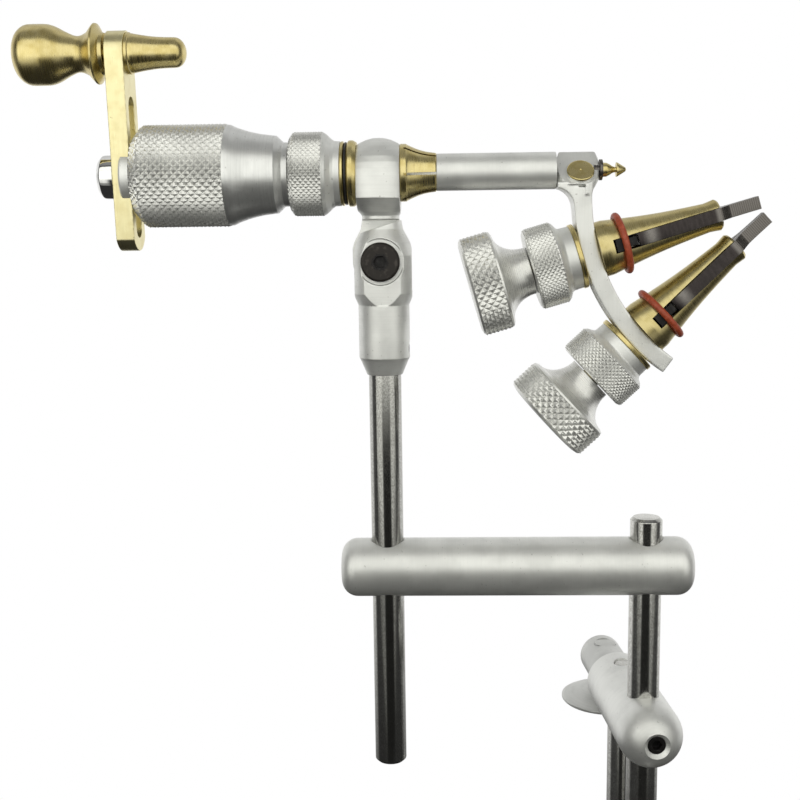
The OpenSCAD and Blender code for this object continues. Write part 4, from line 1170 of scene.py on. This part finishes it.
def add_upper_arm(end):
    m = clamp_matrix(CLAMP_Z)
    profile = ball_front() + [(end - 0.5, BALL_R, 0.1), (end, BALL_R - 0.5), (end, 0)]
    obj = lathe("upper_arm_piece", m, [profile], 0.25, 144)
    neck = 3.05
    cut(obj,
        plug(clamp_upright(CLAMP_Z, 0), [
            (-REACH, 0), (-REACH, 5.03), (BALL_R - 0.4, 5.03), (REACH, 5.35), (REACH, 0)]),
        front_socket(m),
        plug(clamp_upright(CLAMP_Z, GUIDE_BACK), [
            (-REACH, 0), (-REACH, 5.03), (0, 5.03), (0, neck), (BALL_R - 0.9, neck),
            (BALL_R - 0.2, neck + 0.35), (REACH, neck + 0.4), (REACH, 0)]))
    tag_along(obj, m)
    dress(obj, "satin", "clamp_upper_arm")


def add_clamp():
    end = 35.0
    add_upper_arm(end)
    m = clamp_matrix(CLAMP_Z)
    rear = lathe("arm_extension_piece", m, [
        [(end - 4.2, 0), (end - 4.2, 3.95), (end + 0.02, 3.95), (end + 0.02, 7.5), (59.0, 7.5, 0.3),
         (60.0, 6.5, 0.3), (60.0, 0)]], 0.2, 128)
    cut(rear, bore(CLAMP_Z, SCREW_BACK, 3.85))
    tag_along(rear, m)
    # Painted shade: the rear arm takes the darker copy of satin aluminium
    dress(rear, "painted_shade", "arm_extension")
    up = clamp_upright(CLAMP_Z - PAD_DROP, SCREW_BACK)
    pad = lathe("upper_pad_piece", up, [
        [(0, 0), (0, 15.2), (0.35, 15.5), (1.0, 15.5), (1.6, 14.4, 0.6), (2.5, 11.5, 2.0),
         (3.1, 7.5, 1.0), (3.4, 5.4, 0.5), (6.2, 5.0), (6.2, 3.7), (21.2, 3.7), (21.2, 0)]], 0.2, 128)
    # Painted shade: the pad takes the darker copy of satin aluminium
    dress(pad, "painted_shade", "upper_pad")
    screw = softened("upper_screw_piece", "upper_arm_screw", 0.07, 2)
    dress(screw, "black", "upper_arm_screw")
    low = GUIDE_LOW
    obj = lathe("guide_rod_piece", clamp_upright(CLAMP_Z, GUIDE_BACK), [
        [(low, 0), (low, ROD_R - 0.8), (low + 0.8, ROD_R), (-0.02, ROD_R), (-0.02, 2.95),
         (9.5, 2.95), (9.9, 2.5), (9.9, 0)]], 0.2, 96)
    dress(obj, "rod", "guide_rod")
    add_lower_clamp()


FOOT_TOP = CLAMP_Z - PAD_DROP - TABLE_GAP
LOWER_Z = FOOT_TOP - 18


def add_lower_clamp():
    tail = [(34.5, 8.6), (34.5, 7.5), (59.0, 7.5, 0.3), (60.0, 6.5, 0.3), (60.0, 0)]
    m = clamp_matrix(LOWER_Z)
    obj = lathe("lower_arm_piece", m, [ball_front() + [(34.0, BALL_R, 0.1)] + tail], 0.25, 144)
    cut(obj, bore(LOWER_Z, 0, 5.06), bore(LOWER_Z, GUIDE_BACK, 5.06), bore(LOWER_Z, SCREW_BACK, 4.06),
        front_socket(m))
    tag_along(obj, m)
    dress(obj, "satin", "clamp_lower_arm")
    up = clamp_upright(FOOT_TOP - 4.5, SCREW_BACK)
    foot = lathe("foot_piece", up, [
        [(0, 3.1), (0, 6.4), (1.4, 7.0, 0.6), (3.0, 12.0, 0.8), (3.5, 13.0), (4.2, 13.0),
         (4.5, 12.7), (4.5, 0), (3.5, 0), (3.5, 3.1)]], 0.2, 128)
    dress(foot, "satin", "clamp_foot")
    add_clamp_screw(up)


THREAD_PITCH = 1.25
# One thread's ridge: share of the pitch, and radius below the screw's
THREAD = [(0.0, 0.62), (0.28, 0.05), (0.42, 0.05), (0.7, 0.62)]
THREAD_STEPS = 32
SCREW_R = 4.0
SCREW_L = 58.0
SCREW_PLAIN = 12.5


def add_clamp_screw(up):
    """The clamp screw with a cut thread, and its knurled knob."""
    bm = bmesh.new()
    low, high = -SCREW_L + SCREW_PLAIN, -1.5
    count = int((high - low) / THREAD_PITCH * THREAD_STEPS)
    columns = []
    for k in range(count + 1):
        a = 2 * pi * k / THREAD_STEPS
        base = low + THREAD_PITCH * k / THREAD_STEPS
        ridge = [(base + share * THREAD_PITCH, SCREW_R - drop) for share, drop in THREAD]
        columns.append([bm.verts.new((x, r * cos(a), r * sin(a))) for x, r in ridge])
    for a, b in zip(columns, columns[1:]):
        for p in range(len(THREAD) - 1):
            bm.faces.new((a[p], a[p + 1], b[p + 1], b[p]))
    for k in range(count - THREAD_STEPS):
        a, a2 = columns[k:k + 2]
        b, b2 = columns[k + THREAD_STEPS:k + THREAD_STEPS + 2]
        bm.faces.new((a[-1], b[0], b2[0], a2[-1]))
    core_r = SCREW_R - 0.66
    bmesh.ops.recalc_face_normals(bm, faces=bm.faces)
    bm.transform(up)
    thread = new_object("screw_thread_piece", bm)
    shade(thread, 40)
    tag_along(thread, up)
    core = lathe("screw_piece", up, [
        [(-SCREW_L, 0), (-SCREW_L, SCREW_R), (low, SCREW_R), (low + 0.1, core_r), (-1.4, core_r),
         (-0.9, SCREW_R - 0.5), (-0.35, 3.0), (2.9, 3.0), (2.9, 0)]], 0.15, 64)
    dress(core, "rod", "clamp_screw")
    dress(thread, "rod", "clamp_screw")
    x = -SCREW_L - 2
    knob = lathe("clamp_knob_piece", up, [
        [(x + 2, 0), (x + 2, 3.5), (x, 3.5), (x, 10.6, 0.6), (x + 0.8, 11.6, 0.4)],
        ("knurl", [(x + 1, 12.0), (x + 9, 12.0)]),
        [(x + 9.2, 11.6), (x + 10.2, 10.6, 0.6), (x + 12, 8.0, 0.6), (x + 12, 4.0), (x + 10, 4.0),
         (x + 10, 0)],
    ], 0.2, pitch=1.42, rise=1.28, depth=0.42)
    dress(knob, "knurled", "clamp_knob")


# Small hidden fasteners and shafts keep their solids and get a finish

PLAIN = {
    "spindle": "rod", "jaw_1_drawbar": "black", "jaw_2_drawbar": "black", "pivot_nut": "black",
    "socket_set_screw": "black", "bar_set_screws": "black", "lower_arm_screw": "black",
}


def finish_plain():
    """Gives the kept solids their materials."""
    for node, material in PLAIN.items():
        obj = frame["nodes"][node]
        if obj.material_slots:
            for s in obj.material_slots:
                s.material = MATERIALS[material]
        else:
            obj.data.materials.append(MATERIALS[material])


add_camera()
add_studio()
add_stage()
add_panel()
add_grip()
add_drag_ring()
add_brass_rings()
add_crank()
add_head()
add_collet()
add_tube_and_arm()
add_jaw(1)
add_jaw(2)
add_posts()
add_clamp()
finish_plain()
bpy.context.scene.view_settings.view_transform = "Standard"
